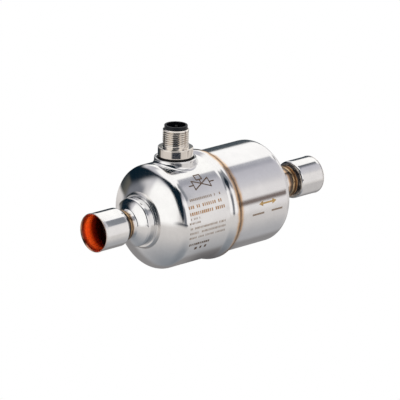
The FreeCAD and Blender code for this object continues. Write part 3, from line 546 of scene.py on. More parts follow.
def startFinish(name, centre=(0, 0, 0), upright=False):
    # the material, its shader, and the place along the axis and out from it and the angle round it, in mm
    material, tree = emptyMaterial(name)
    shader = addNode(tree, "ShaderNodeBsdfPrincipled")
    addNode(tree, "ShaderNodeOutputMaterial", {"Surface": Port(shader.outputs[0])})
    where = port(tree, "ShaderNodeTexCoord", output="Object")
    moved = port(tree, "ShaderNodeMapping", {"Vector": where, "Location": [-part for part in centre]})
    spot = port(tree, "ShaderNodeVectorMath", {0: moved, "Scale": 1 / mm}, operation="SCALE")
    x, y, z = parts(spot)
    along, first, second = (z, x, y) if upright else (x, y, z)
    out = calc("SQRT", first * first + second * second)
    return material, shader, spot, along, out, calc("ARCTAN2", first, second)


def wear(shader, colour, rough, metal=0.0, bump=None, specular=0.5):
    values = {"Base Color": colour, "Roughness": rough, "Metallic": metal, "Specular IOR Level": specular}
    if bump:
        height, strength, distance = bump
        sockets = {"Height": height, "Strength": strength, "Distance": distance}
        values["Normal"] = port(shader.id_data, "ShaderNodeBump", sockets)
    for key, value in values.items():
        setInput(shader, key, value)


def grainy(fine, rough):
    return line(fine, 0.3, 0.7, *rough)


steelLook = {
    "colour": (0.80, 0.797, 0.793), "shade": (0.765, 0.76, 0.757), "rough": (0.09, 0.15), "lines": 5.0,
    "relief": 0.03, "upright": False, "centre": (0, 0, 0),
}


def turnedMetal(name, tint=None, **changes):
    # metal with the fine rings that turning, drawing or polishing leaves round an axis
    look = Sizes(**{**steelLook, **changes})
    material, shader, spot, along, out, angle = startFinish(name, look.centre, look.upright)
    fine = noise(vector(along, out, angle * 0.35), look.lines, 4.0, 0.6)
    mottled = noise(spot, 0.11, 2.0) * 0.65 + noise(spot, 0.55, 3.0, 0.6) * 0.35
    colour = blend(ramp(mottled, 0.38, 0.62), look.shade, look.colour)
    if tint:
        colour = tint(colour, along, out, spot)
    wear(shader, colour, grainy(fine, look.rough), 1.0, (fine, look.relief, 0.00004))
    return material


def plainMaterial(name, colour, shade, rough, grain=2.0, relief=0.2, metal=0.0, specular=0.5):
    # moulded or sintered stuff: mottled, with a fine grain
    material, shader, spot, *rest = startFinish(name)
    fine = noise(spot, grain, 4.0, 0.65)
    mixed = blend(ramp(noise(spot, 0.5), 0.35, 0.65), shade, colour)
    wear(shader, mixed, grainy(fine, rough), metal, (fine, relief, 0.00005), specular)
    return material


def burn(stops, start, end, scale=0.5, drift=0.5, middle=None, strength=None, detail=3.0):
    # colours that a weld leaves, by the place along the axis or by the distance from a middle
    def tint(colour, along, out, spot):
        shift = (noise(spot, scale, detail) - 0.5) * drift
        place = along if middle is None else abs(along - middle)
        found = colourStops(line(place + shift, start, end), stops)
        return blend(strength, colour, found, "MULTIPLY") if strength else found
    return tint


def heatBand(middle, half, strength, reach):
    # brown and straw bands beside a weld
    stops = [(0.0, (0.11, 0.07, 0.042)), (0.16, (0.22, 0.13, 0.07)), (0.34, (0.62, 0.38, 0.21)),
             (0.54, (0.92, 0.71, 0.52)), (0.76, (0.95, 0.92, 0.92)), (1.0, (1.0, 1.0, 1.0))]
    return burn(stops, half, half + reach, 0.28, 1.6, middle, strength, 2.0)


def heatTintAndDarkReflection(middle, reach):
    # brown heat tint beside the weld, then a nearly black band that is painted dark reflection, with a straw
    # edge
    stops = [(0.0, (0.46, 0.27, 0.13)), (0.22, (0.16, 0.10, 0.06)), (0.42, (0.035, 0.033, 0.035)),
             (0.72, (0.08, 0.075, 0.075)), (0.90, (0.60, 0.54, 0.48)), (1.0, (1.0, 1.0, 1.0))]
    return burn(stops, 0, reach, 0.5, 1.2, middle, 1.0)


def copperFinish(name, mouth):
    # drawn copper: a plated lip, pale metal at the mouth, a darker band just inside the lip, then painted
    # shade that darkens the wall towards the cup's floor
    material, shader, spot, along, out, angle = startFinish(name)
    cloud = noise(spot, 0.22, 2.0)
    depth = abs(along - mouth)
    wall = blend(ramp(cloud, 0.35, 0.65), (1.0, 0.10, 0.015), (1.0, 0.13, 0.02))
    # by depth: the lip, a darker band, full colour, then painted shade deeper in, nearly black near the floor
    stops = [(0.0, (0.50, 0.34, 0.26)), (0.04, (0.24, 0.16, 0.14)), (0.11, (0.20, 0.13, 0.11)),
             (0.20, (1.0, 1.0, 1.0)), (0.33, (1.0, 0.9, 0.8)), (0.50, (0.22, 0.10, 0.07)),
             (0.72, (0.03, 0.02, 0.02))]
    colour = blend(1.0, wall, colourStops(line(depth, 0, 13), stops), "MULTIPLY")
    colour = blend(ramp(depth, 0.2, 0.9), (0.60, 0.32, 0.21), colour)
    colour = blend(ramp(out, 8.8, 8.98), colour, (0.74, 0.71, 0.69))
    wear(shader, colour, grainy(cloud, (0.2, 0.3)), ramp(depth, 0.5, 1.6, 1.0, 0.0), specular=0.3)
    return material


# Drawn shells

frontForm = {
    "radius": 24.5, "wall": 1.5, "knuckle": 5.0, "crown": 38.0, "hole": 12.55,
    "joggleRise": 1.45, "bandLength": 4.35, "joggleSlope": 37, "edge": 0.2,
    "riseRadius": 9.8, "riseBore": 8.6, "riseFillet": 1.8, "riseEdge": 0.35, "boreEdge": 0.15,
    "riseMargin": 0.4, "riseLower": 0.3, "around": 240,
    "patchHalf": 20,   # turned steps to each side of the collar that its patch takes
    "skinSteps": 9, "filletSteps": 14, "edgeSteps": 5, "boreSteps": 3,
}
rearForm = {
    "radius": 24.3, "wall": 1.5, "knuckle": 4.0, "crown": 60.0, "hole": 12.55, "edge": 0.2, "around": 240,
    "length": 31.4,    # of the cylinder behind the band's edge
}
collarReach = frontForm["riseRadius"] + frontForm["riseFillet"]
bandEnd = nodeBox("front_shell")[1].x
# where each shell's cylinder begins and its head ends
headStart = {-1: connectorX - collarReach - frontForm["riseMargin"], 1: bandEnd + rearForm["length"]}
headForm = {-1: Sizes(**frontForm), 1: Sizes(**rearForm)}


def crownCentre(side):
    form = headForm[side]
    span = sqrt((form.crown - form.knuckle) ** 2 - (form.radius - form.knuckle) ** 2)
    return headStart[side] - side * span


def headSteps(side, inset=0.0):
    # a dished head from its hole's edge to the start of the cylinder
    form, start, centre = headForm[side], headStart[side], crownCentre(side)
    share = (form.crown - inset) / (form.crown - form.knuckle)
    meets = (centre + (start - centre) * share, (form.radius - form.knuckle) * share)
    edge = (centre + side * sqrt((form.crown - inset) ** 2 - form.hole ** 2), form.hole)
    knuckle = ("arc", start, form.radius - form.knuckle, start, form.radius - inset)
    return [edge, ("arc", centre, 0.0, *meets), knuckle]


def backwards(steps):
    # the same outline from its end to its start
    ends = [stationOf(step) for step in steps]
    made = [ends[-1]]
    for place in range(len(steps) - 1, 0, -1):
        step, target = steps[place], ends[place - 1]
        made.append(("arc", step[1], step[2], *target) if step[0] == "arc" else target)
    return made


def frontOutline(finish):
    # one wall of even thickness: head, cylinder, and a joggle of two equal bends
    form = headForm[-1]
    radius, wall = form.radius, form.wall
    raised = radius + form.joggleRise
    slope = radians(form.joggleSlope)
    bend = form.joggleRise / 2 / (1 - cos(slope))
    foot = bandEnd - form.bandLength + form.joggleRise / 2 - bend * sin(slope)
    head = foot + 2 * bend * sin(slope)
    middle, half = (foot + head) / 2, radius + form.joggleRise / 2
    return headSteps(-1) + [
        (finish, radius), (foot, radius), ("arc", foot, radius + bend, middle, half),
        ("arc", head, raised - bend, head, raised), (bandEnd, raised, form.edge),
        (bandEnd, raised - wall, form.edge), (head, raised - wall),
        ("arc", head, raised - bend, middle + wall * sin(slope), half - wall * cos(slope)),
        ("arc", foot, radius + bend, foot, radius - wall), (finish, radius - wall),
    ] + backwards(headSteps(-1, wall))


def faintSeam(colour, along, out, spot):
    # a trace of straw where a bead has warmed the head
    return blend(ramp(abs(out - 12.9), 0.1, 0.9, 0.5, 0.0), colour, (0.86, 0.83, 0.79), "MULTIPLY")


def shellSteel(name, *band, **changes):
    warmed = heatBand(*band)

    def tint(colour, along, out, spot):
        return faintSeam(warmed(colour, along, out, spot), along, out, spot)
    return turnedMetal(name, tint, lines=4.0, **changes)


def makeFrontShell():
    form = headForm[-1]
    radius, wall, around, half = form.radius, form.wall, form.around, form.patchHalf
    fillet, post, bore = form.riseFillet, form.riseRadius, form.riseBore
    top = nodeBox("front_shell")[1].z - form.riseLower
    start, finish = headStart[-1], connectorX + collarReach + form.riseMargin
    profile = trace(frontOutline(finish), 1.0)
    points, faces = [], []
    for along, out in profile:
        for step in range(around):
            angle = 2 * pi * step / around
            points.append(Vector((along, out * sin(angle), out * cos(angle))))
    # each skin's columns between start and finish, where the patch with the collar stands for the faces
    skins = []
    for skin in (radius, radius - wall):
        columns = [place for place, (along, out) in enumerate(profile)
                   if abs(out - skin) < 1e-4 and start - 1e-4 < along < finish + 1e-4]
        skins.append(sorted(columns, key=lambda place: profile[place][0]))
    taken = {column for columns in skins for column in columns}
    for ring in range(len(profile)):
        following = (ring + 1) % len(profile)
        covered = ring in taken and following in taken
        for step in range(around):
            offset = step if step < around / 2 else step - around
            if covered and -half <= offset < half:
                continue
            after = (step + 1) % around
            low, high = ring * around, following * around
            faces.append([low + step, low + after, high + after, high + step])

    def border(columns):
        # the patch's edge, anticlockwise seen from above, from the corner at finish and positive Y
        steps = [step % around for step in range(half, -half - 1, -1)]
        edge = [columns[-1] * around + step for step in steps]
        edge += [column * around + steps[-1] for column in reversed(columns[:-1])]
        edge += [columns[0] * around + step for step in reversed(steps[:-1])]
        return edge + [column * around + steps[0] for column in columns[1:-1]]

    outerEdge, innerEdge = (border(columns) for columns in skins)
    rays = []
    for index in outerEdge:
        spot = points[index]
        sweep = atan2(spot.y, spot.z) / (half * 2 * pi / around)
        rays.append(atan2(sweep, (spot.x - connectorX) / (collarReach + form.riseMargin)))

    def skinRings(skin, edge, contact, shares):
        # rings from the patch's edge towards the line where the collar meets the skin
        made = []
        for share in shares:
            ring = []
            for index, ray in zip(edge, rays):
                spot = points[index]
                touch = contact(ray)
                along = touch[0] + (spot.x - touch[0]) * share
                angle = touch[1] + (atan2(spot.y, spot.z) - touch[1]) * share
                ring.append(Vector((along, skin * sin(angle), skin * cos(angle))))
            made.append(ring)
        return made

    def ballCentre(ray):
        # of a ball that rolls in the fillet
        side = collarReach * sin(ray)
        height = sqrt((radius + fillet) ** 2 - side ** 2)
        return Vector((connectorX + collarReach * cos(ray), side, height))

    def outerContact(ray):
        ball = ballCentre(ray)
        return ball.x, atan2(ball.y, ball.z)

    def innerContact(ray):
        return connectorX + bore * cos(ray), asin(bore * sin(ray) / (radius - wall))

    def tube(out, heights):
        return [Vector((connectorX + out * cos(ray), out * sin(ray), height))
                for ray, height in zip(rays, heights)]

    rings = skinRings(radius, outerEdge, outerContact, evenly(1.0, 0.0, form.skinSteps)[1:])
    for share in evenly(0.0, 1.0, form.filletSteps)[1:]:
        ring = []
        for ray in rays:
            ball = ballCentre(ray)
            down = -Vector((0, ball.y, ball.z)).normalized()
            inward = -Vector((cos(ray), sin(ray), 0))
            angle = down.angle(inward)
            way = (down * sin((1 - share) * angle) + inward * sin(share * angle)) / sin(angle)
            ring.append(ball + way * fillet)
        rings.append(ring)
    edge, inner = form.riseEdge, form.boreEdge
    low = [spot.z for spot in rings[-1]]
    rings += [tube(post, [foot + (top - edge - foot) * share for foot in low]) for share in (0.35, 0.7)]
    for angle in evenly(0.0, pi / 2, form.edgeSteps):
        rings.append(tube(post - edge + edge * cos(angle), [top - edge + edge * sin(angle)] * len(rays)))
    for angle in evenly(0.0, pi / 2, form.boreSteps):
        rings.append(tube(bore + inner - inner * sin(angle), [top - inner + inner * cos(angle)] * len(rays)))
    low = [sqrt((radius - wall) ** 2 - (bore * sin(ray)) ** 2) for ray in rays]
    rings += [tube(bore, [top - inner + (foot - top + inner) * share for foot in low])
              for share in (0.25, 0.5, 0.75, 1.0)]
    rings += skinRings(radius - wall, innerEdge, innerContact, (0.4, 0.7))
    indexes = [outerEdge]
    for ring in rings:
        indexes.append(list(range(len(points), len(points) + len(ring))))
        points.extend(ring)
    indexes.append(innerEdge)
    for low, high in zip(indexes, indexes[1:]):
        for step in range(len(low)):
            after = (step + 1) % len(low)
            faces.append([low[step], low[after], high[after], high[step]])
    steel = shellSteel("front_shell_steel", bandEnd, -0.3, 0.95, 3.0)
    shell = finishMesh("front_shell_drawn", [spot * mm for spot in points], faces, steel, 28)
    place(shell, "housing", "shell_steel", "front_shell")


def makeRearShell():
    form = headForm[1]
    front = nodeBox("rear_shell")[0].x
    outline = [(front, form.radius - form.wall, form.edge), (front, form.radius, form.edge)]
    outline += backwards(headSteps(1)) + headSteps(1, form.wall)
    steel = shellSteel("rear_shell_steel", nodeBox("girth_weld")[1].x, -0.35, 0.95, 3.2,
                       colour=(0.79, 0.785, 0.79), shade=(0.755, 0.75, 0.757))
    shell = lathe("rear_shell_drawn", outline, steel, form.around)
    place(shell, "housing", "shell_steel", "rear_shell")


makeFrontShell()
makeRearShell()
print("drawn shells made")


# Welds

def startTree(name, sizes):
    tree = bpy.data.node_groups.new(name, "GeometryNodeTree")
    tree.is_modifier = True
    tree.interface.new_socket("Geometry", in_out="INPUT", socket_type="NodeSocketGeometry")
    tree.interface.new_socket("Geometry", in_out="OUTPUT", socket_type="NodeSocketGeometry")
    kinds = {int: "NodeSocketInt", float: "NodeSocketFloat"}
    for key, value in sizes.items():
        tree.interface.new_socket(key, in_out="INPUT", socket_type=kinds[type(value)]).default_value = value
    tree.interface.new_socket("Finish", in_out="INPUT", socket_type="NodeSocketMaterial")
    outputs = addNode(tree, "NodeGroupInput").outputs
    return tree, {key: Port(outputs[key]) for key in (*sizes, "Finish")}


def endTree(tree, geometry, finish):
    smooth = port(tree, "GeometryNodeSetShadeSmooth", {"Geometry": geometry})
    real = port(tree, "GeometryNodeRealizeInstances", {"Geometry": smooth})
    painted = port(tree, "GeometryNodeSetMaterial", {"Geometry": real, "Material": finish})
    addNode(tree, "NodeGroupOutput", {"Geometry": painted})


def grid(tree, across, along, width=1.0, length=1.0):
    sockets = {"Size X": width, "Size Y": length, "Vertices X": across, "Vertices Y": along}
    return port(tree, "GeometryNodeMeshGrid", sockets)


def position(tree):
    return parts(port(tree, "GeometryNodeInputPosition"))


def bentTo(geometry, *where):
    return port(geometry.tree, "GeometryNodeSetPosition", {"Geometry": geometry, "Position": vector(*where)})


def sine(value):
    return calc("SINE", value)


def cosine(value):
    return calc("COSINE", value)


def grow(name, tree, sizes, material, sharpAt=32):
    # runs a node tree once and keeps its result as a plain mesh
    piece = bpy.data.objects.new(name, bpy.data.meshes.new(name + "_start"))
    modifier = piece.modifiers.new("build", "NODES")
    modifier.node_group = tree
    values = {**sizes, "Finish": material}
    for item in tree.interface.items_tree:
        if item.item_type == "SOCKET" and item.in_out == "INPUT" and item.name in values:
            modifier[item.identifier] = values[item.name]
    link(piece)
    graph = bpy.context.evaluated_depsgraph_get()
    mesh = bpy.data.meshes.new_from_object(piece.evaluated_get(graph))
    mesh.name = name
    piece.modifiers.clear()
    piece.data = mesh
    mesh.set_sharp_from_angle(angle=radians(sharpAt))
    return piece


weldForm = {"ripples": 300.0, "rippleHeight": 0.035, "chevron": 2.0, "facets": 1800, "across": 15,
            "bulge": 0.14, "gap": 0.05, "sink": 0.06, "fill": 0.93}


def weldTree(sizes):
    # a bead swept round the pipe's axis between two edges, with the ripples that a moving pool leaves
    tree, given = startTree("weld_bead", sizes)
    ribbon = grid(tree, weldForm["across"], given["Facets"])
    x, y, *rest = position(tree)
    across = x + 0.5
    angle = (y + 0.5) * (2 * pi)
    crown = sine(across * pi)
    slope = given["Outer"] - (given["Outer"] - given["Inner"]) * across
    bulge = crown * (given["Long"] * weldForm["bulge"])
    wave = sine(angle * given["Ripples"] + crown * given["Chevron"])
    out = slope + bulge + wave * given["Ripple Height"] * crown
    along = given["Station"] + given["Long"] * across + bulge
    bent = bentTo(ribbon, along, out * sine(angle), out * cosine(angle))
    joined = port(tree, "GeometryNodeMergeByDistance", {"Geometry": bent, "Distance": 1e-6})
    endTree(tree, joined, given["Finish"])
    return tree


def makeGirthWeld():
    low, high = nodeBox("girth_weld")
    form = Sizes(**weldForm)
    long = (high.x - low.x - form.gap) * form.fill   # so that the bead's bulge stays inside the solid
    sizes = {"Station": low.x * mm, "Long": long * mm, "Outer": (high.z - form.sink) * mm,
             "Inner": rearForm["radius"] * mm, "Ripples": form.ripples,
             "Ripple Height": form.rippleHeight * mm, "Chevron": form.chevron, "Facets": form.facets}
    stops = [(0.0, (0.26, 0.16, 0.08)), (0.18, (0.09, 0.055, 0.03)), (0.36, (0.03, 0.02, 0.013)),
             (0.64, (0.03, 0.02, 0.013)), (0.82, (0.13, 0.08, 0.04)), (1.0, (0.34, 0.20, 0.10))]
    steel = turnedMetal("girth_weld_burnt", burn(stops, low.x - 0.1, high.x), rough=(0.22, 0.36), lines=2.0)
    bead = grow("girth_weld_bead", weldTree(sizes), sizes, steel, 60)
    place(bead, "housing", "weld_bead", "girth_weld")


seamForm = {"inner": 12.5, "bulge": 0.12, "lift": 0.048}


def straw(colour, along, out, spot):
    return blend(noise(spot, 0.7), (0.66, 0.63, 0.60), (0.78, 0.76, 0.74))


def makeSeamWeld(node, side):
    # the small bead between a turned collar and its head
    low, high = nodeBox(node)
    inner, outer = seamForm["inner"], high.z
    centre, crown = crownCentre(side), headForm[side].crown
    root, foot = (centre + side * sqrt(crown ** 2 - out ** 2) for out in (inner, outer))
    edge = high.x if side > 0 else low.x
    middle = ((edge + foot) / 2 + side * seamForm["bulge"], (inner + outer) / 2 + seamForm["lift"])
    steel = turnedMetal(node + "_steel", straw, rough=(0.18, 0.30), lines=2.0)
    bead = lathe(node + "_bead", [(edge, inner), middle, (foot, outer), (root, inner)], steel, sharpAt=50)
    place(bead, "housing", "seam_bead", node)


makeGirthWeld()
makeSeamWeld("inlet_seam_weld", -1)
makeSeamWeld("outlet_seam_weld", 1)
print("welds made")


# Turned collars, cups and their copper liners

socketForm = {
    "bore": 7.95, "leadIn": 0.72, "leadDepth": 1.9, "depth": 13.0, "liner": 0.5, "sleeve": 0.52, "rim": 0.6,
    "overhang": 0.12, "corner": 1.3, "floor": 1.3, "hubStep": 0.27, "hub": 2.0, "flow": 5.2, "shank": 5.95,
    "weldWidth": 1.8, "weldHeight": 0.9, "lip": 0.12, "leadBlend": 1.2,
    "scorch": {"inlet": 1.7, "outlet": 2.5},   # how far the neck weld's heat tint and the painted dark reflection beside it reach along the cup
}
collarForm = {
    "face": {"inlet": 22.2, "outlet": 112.532},
    "browned": {"inlet": (0.0, 0.8, 0.9), "outlet": (0.9, 0.95, 2.8)},   # half width, strength and reach
    "flare": 0.8, "neckWall": 0.7, "cone": 31.5, "edgeAt": 1.9, "radius": 11.3, "edge": 0.85, "length": 5.6,
    "stepEdge": 0.3, "step": 12.5, "taper": 3.3, "passage": 9.5, "grip": 4.0,
    "press": 14.05, "pressEdge": 0.15, "seat": 11.5, "cageEnd": 1.2,   # the outlet collar's hold on the cage
}
neckBore = socketForm["shank"] + 0.05


def makeSocket(name, side):
    form = Sizes(**socketForm)
    mouth = 0.0 if side < 0 else outletMouth

    def at(depth):
        return mouth - side * depth

    low, high = nodeBox(name + "_socket")
    bottom = form.depth + form.liner
    depth = bottom + form.floor
    liner = form.bore + form.liner
    radius = liner + form.sleeve
    hub = radius - form.corner - form.hubStep
    weldStart = depth + form.hub
    shankEnd = high.x - low.x + form.rim
    # heat tint beside the neck weld, with a nearly black band of painted dark reflection on the cup
    steel = turnedMetal(name + "_cup_steel", heatTintAndDarkReflection(at(weldStart), form.scorch[name]),
                        lines=6.0, rough=(0.07, 0.12), colour=(0.82, 0.815, 0.81))
    cup = lathe(name + "_cup", [
        (at(form.rim), liner), (at(form.rim), radius, 0.06), (at(depth - form.corner), radius),
        ("arc", at(depth - form.corner), radius - form.corner, at(depth), radius - form.corner),
        (at(depth), hub, 0.12), (at(weldStart), hub, 0.15), (at(weldStart), form.shank),
        (at(shankEnd), form.shank), (at(shankEnd), form.flow), (at(bottom), form.flow, 0.1),
        (at(bottom), liner),
    ], steel)
    place(cup, "housing", "socket_steel", name + "_socket")
    rim = radius + form.overhang
    lip = form.rim / 2
    lining = lathe(name + "_copper_cup", [
        (at(form.leadDepth), form.bore, form.leadBlend), (at(form.lip), form.bore + form.leadIn),
        (at(0), rim - lip), ("arc", at(lip), rim - lip, at(lip), rim), (at(form.rim), rim, 0.1),
        (at(form.rim), liner), (at(bottom), liner), (at(bottom), form.flow),
        (at(form.depth), form.flow, 0.15), (at(form.depth), form.bore, 0.35),
    ], copperFinish(name + "_cup_copper", at(0)), longest=1.0)
    place(lining, "housing", "socket_copper", name + "_liner")
    bead = form.shank + form.weldHeight
    middle, end = weldStart + form.weldWidth / 2, weldStart + form.weldWidth
    bulged = hypot(form.weldWidth / 2, form.weldHeight)
    stops = [(0.0, (0.60, 0.47, 0.33)), (0.2, (0.50, 0.33, 0.17)), (0.42, (0.12, 0.075, 0.045)),
             (0.58, (0.09, 0.06, 0.045)), (0.80, (0.46, 0.30, 0.15)), (1.0, (0.66, 0.52, 0.37))]
    burnt = burn(stops, *sorted((at(weldStart), at(end))), scale=0.6)
    steel = turnedMetal(name + "_neck_bead_burnt", burnt, rough=(0.16, 0.26), lines=4.0)
    ring = lathe(name + "_neck_bead", [
        (at(weldStart), form.shank), (at(weldStart), bead),
        ("arc", at(middle), form.shank, at(middle), form.shank + bulged),
        ("arc", at(middle), form.shank, at(end), bead), (at(end), form.shank),
    ], steel, longest=0.4)
    place(ring, "housing", "weld_bead", name + "_neck_weld")


def makeCollar(name, side):
    form = Sizes(**collarForm)
    flow, flare, edge, edgeAt = socketForm["flow"], form.flare, form.edge, form.edgeAt
    tip = nodeBox(name + "_neck_weld")[1 if side < 0 else 0].x
    neck = neckBore + form.neckWall

    def at(depth):
        return form.face[name] - side * depth

    # a cone between the neck's flare and the rounded edge
    lean = radians(form.cone)
    low = (neck + flare * (1 - sin(lean)), form.radius - edge * (1 - sin(lean)))
    coneEnd = edgeAt - edge * cos(lean)
    coneStart = coneEnd - (low[1] - low[0]) * tan(lean)
    foot = coneStart - flare * cos(lean)
    outline = [
        (tip, neckBore), (tip, neck), (at(foot), neck),
        ("arc", at(foot), neck + flare, at(coneStart), low[0]), (at(coneEnd), low[1]),
        ("arc", at(edgeAt), form.radius - edge, at(edgeAt), form.radius),
        (at(form.length), form.radius, 0.12), (at(form.length), form.step - form.stepEdge, 0.04),
        (at(form.length + form.stepEdge), form.step, 0.08),
    ]
    corner, far = nodeBox(name + "_adapter")
    if side < 0:
        outline += [(far.x, form.step), (far.x, form.passage), (far.x - form.taper, flow)]
    else:
        cage, seat = nodeBox("port_sleeve")[1].x, nodeBox("seat_ring")[1].x
        outline += [
            (cage + form.cageEnd, form.step), (cage + form.cageEnd, far.z, form.pressEdge),
            (corner.x, far.z, form.pressEdge), (corner.x, form.press, 0.1), (cage, form.press),
            (cage, form.seat), (seat, form.seat), (seat, form.passage), (seat + form.taper, flow),
        ]
    outline += [(at(form.grip), flow), (at(form.grip), neckBore)]
    steel = turnedMetal(name + "_collar_steel", heatBand(tip, *form.browned[name]), lines=3.0)
    place(lathe(name + "_collar", outline, steel), "housing", "collar_steel", name + "_adapter")


makeSocket("inlet", -1)
makeSocket("outlet", 1)
makeCollar("inlet", -1)
makeCollar("outlet", 1)
print("cups, liners and collars made")


# Cable connector

plugForm = {
    "seal": 4.6, "sealTall": 3.1, "base": 8.55, "groove": 7.0, "shoulder": 8.15, "shoulderEdge": 0.35,
    "shoulderTop": 7.3, "thread": 6.0, "core": 5.42, "pitch": 1.0, "plain": 1.5, "raised": 0.45, "neck": 0.9,
    "bore": 5.05, "lip": 5.4, "cavity": 4.5, "cavityDepth": 8.5, "pinCircle": 3.0, "pin": 0.5, "pinCount": 4,
    "keyWidth": 1.2, "keyHeight": 0.6, "keyDown": 2.0, "facets": 96,
    "chamfer": (0.35, 0.4), "sunk": 0.06, "play": 0.05, "pinTip": 0.35,
}


def makeConnectorShell():
    form = Sizes(**plugForm)
    baseTop = nodeBox("glass_seal")[1].z
    shoulderLow = baseTop + form.sealTall
    shoulderTop = baseTop + form.shoulderTop
    edge = form.shoulderEdge
    barrelTop = shellHigh.z + form.raised
    barrel = shoulderTop + form.plain
    nickel = turnedMetal("connector_nickel", centre=(connectorX * mm, 0, 0), upright=True, rough=(0.07, 0.12),
                         colour=(0.79, 0.745, 0.69), shade=(0.74, 0.70, 0.65))
    shell = lathe("connector_body", [
        (shellLow.z, form.seal), (shellLow.z, form.base, 0.15), (baseTop, form.base, 0.15),
        (baseTop, form.groove), (shoulderLow, form.groove), (shoulderLow, form.shoulder, 0.15),
        (shoulderTop - edge, form.shoulder),
        ("arc", shoulderTop - edge, form.shoulder - edge, shoulderTop, form.shoulder - edge),
        (shoulderTop, form.thread, 0.1), (barrel, form.thread, 0.1), (barrel, form.core),
        (barrelTop - form.neck, form.core), (barrelTop - form.neck, form.thread),
        (barrelTop - form.chamfer[0], form.thread), (barrelTop, form.thread - form.chamfer[1]),
        (barrelTop, form.bore, 0.08), (baseTop + form.play, form.bore),
        (baseTop + form.play, form.seal),
    ], nickel, centre=connectorX, longest=0.5, sharpAt=40)
    place(shell, "housing", "connector_metal", "connector_shell")
    rubber = plainMaterial("seal_rubber", (0.012, 0.012, 0.013), (0.008, 0.008, 0.009), (0.5, 0.65), 4.0,
                           specular=0.2)
    seal = lathe("connector_seal", [
        (baseTop + 0.02, form.groove), (baseTop + 0.02, form.base - 0.1, 0.6),
        (shoulderLow - 0.02, form.shoulder - 0.15, 0.5), (shoulderLow - 0.02, form.groove),
    ], rubber, centre=connectorX, longest=0.5)
    place(seal, "housing", "ring_rubber", "connector_o_ring")
    first = barrel - form.pitch / 2
    sizes = {"Start": first * mm, "Turns": (barrelTop - form.neck - first) / form.pitch - 0.5,
             "Pitch": form.pitch * mm, "Root": (form.core - form.sunk) * mm, "Crest": form.thread * mm,
             "Axis": connectorX * mm, "Facets": form.facets}
    ridge = grow("connector_thread", threadTree(sizes), sizes, nickel, 50)
    place(ridge, "housing", "connector_metal")


def threadTree(sizes):
    # one ridge wound round the barrel, its ends run out into the core
    tree, given = startTree("wound_thread", sizes)
    turns, pitch, root = given["Turns"], given["Pitch"], given["Root"]
    count = port(tree, "FunctionNodeFloatToInt", {0: turns * given["Facets"]})
    ribbon = grid(tree, 9, count)
    x, y, *rest = position(tree)
    across = x * 2.0
    turnsIn = (y + 0.5) * turns
    angle = turnsIn * (2 * pi)
    flank = port(tree, "ShaderNodeClamp", {"Value": 1.0 - (abs(across) - 0.5) * 2.0})
    fade = ramp(turnsIn, 0.0, 0.5) * ramp(turns - turnsIn, 0.0, 0.5)
    out = root + (given["Crest"] - root) * (flank * fade)
    rise = turnsIn * pitch + across * (pitch * 0.5)
    wound = bentTo(ribbon, given["Axis"] + out * cosine(angle), out * sine(angle),
                   given["Start"] + (rise + pitch * 0.5))
    endTree(tree, wound, given["Finish"])
    return tree


def makeInsert():
    form = Sizes(**plugForm)
    low, high = nodeBox("connector_insert")
    shellTop = shellHigh.z + form.raised
    floor = high.z - form.cavityDepth

    def keyed(along, out, angle):
        # the coding rib stands out of the cavity's wall
        if abs(out - form.cavity) > 0.01 or along > high.z - form.keyDown:
            return out
        aside = abs((angle - pi / 4 + pi) % (2 * pi) - pi) * out
        return out - form.keyHeight if aside < form.keyWidth / 2 else out

    plastic = plainMaterial("connector_black_plastic", (0.004, 0.006, 0.010), (0.003, 0.004, 0.007),
                            (0.24, 0.32), 3.0, 0.05, specular=0.25)
    insert = lathe("connector_moulding", [
        (low.z, 0.0), (low.z, form.bore - form.play), (shellTop, form.bore - form.play),
        (shellTop, form.lip, 0.1), (high.z, form.lip, 0.22), (high.z, form.cavity, 0.15),
        (floor, form.cavity, 0.2), (floor, 0.0),
    ], plastic, centre=connectorX, longest=0.7, shape=keyed)
    place(insert, "housing", "connector_plastic", "connector_insert")


def makePins():
    # contacts round the axis, each turned from one outline
    form = Sizes(**plugForm)
    low, high = nodeBox("contact_pins")
    gold = plainMaterial("contact_gold", (0.92, 0.70, 0.32), (0.85, 0.60, 0.26), (0.16, 0.26), 4.0, 0.1, 1.0)
    tip = form.pinTip
    pin = lathe("one_contact", [
        (low.z, 0.0), (low.z, form.pin, 0.08), (high.z - tip, form.pin),
        ("arc", high.z - tip, form.pin - tip, high.z, form.pin - tip), (high.z, 0.0),
    ], gold, 32, centre=0.0, longest=2.0)
    sizes = {"Circle": form.pinCircle * mm, "Axis": connectorX * mm, "Count": form.pinCount}
    tree, given = startTree("contact_ring", sizes)
    ring = port(tree, "GeometryNodeMeshCircle", {"Vertices": given["Count"], "Radius": given["Circle"]})
    moved = port(tree, "GeometryNodeTransform", {"Geometry": ring, "Translation": vector(given["Axis"])})
    source = port(tree, "GeometryNodeObjectInfo", {"Object": pin, "As Instance": True}, "Geometry")
    pins = port(tree, "GeometryNodeInstanceOnPoints", {"Points": moved, "Instance": source})
    endTree(tree, pins, given["Finish"])
    contacts = grow("connector_contacts", tree, sizes, gold, 40)
    bpy.data.objects.remove(pin)
    place(contacts, "housing", "contact_gold", "contact_pins")


makeConnectorShell()
makeInsert()
makePins()
print("connector made")


# Marks burnt into the shells: plain dashes, a drawing-board sign and a two-way arrow

markProud = 0.012   # mm above the steel
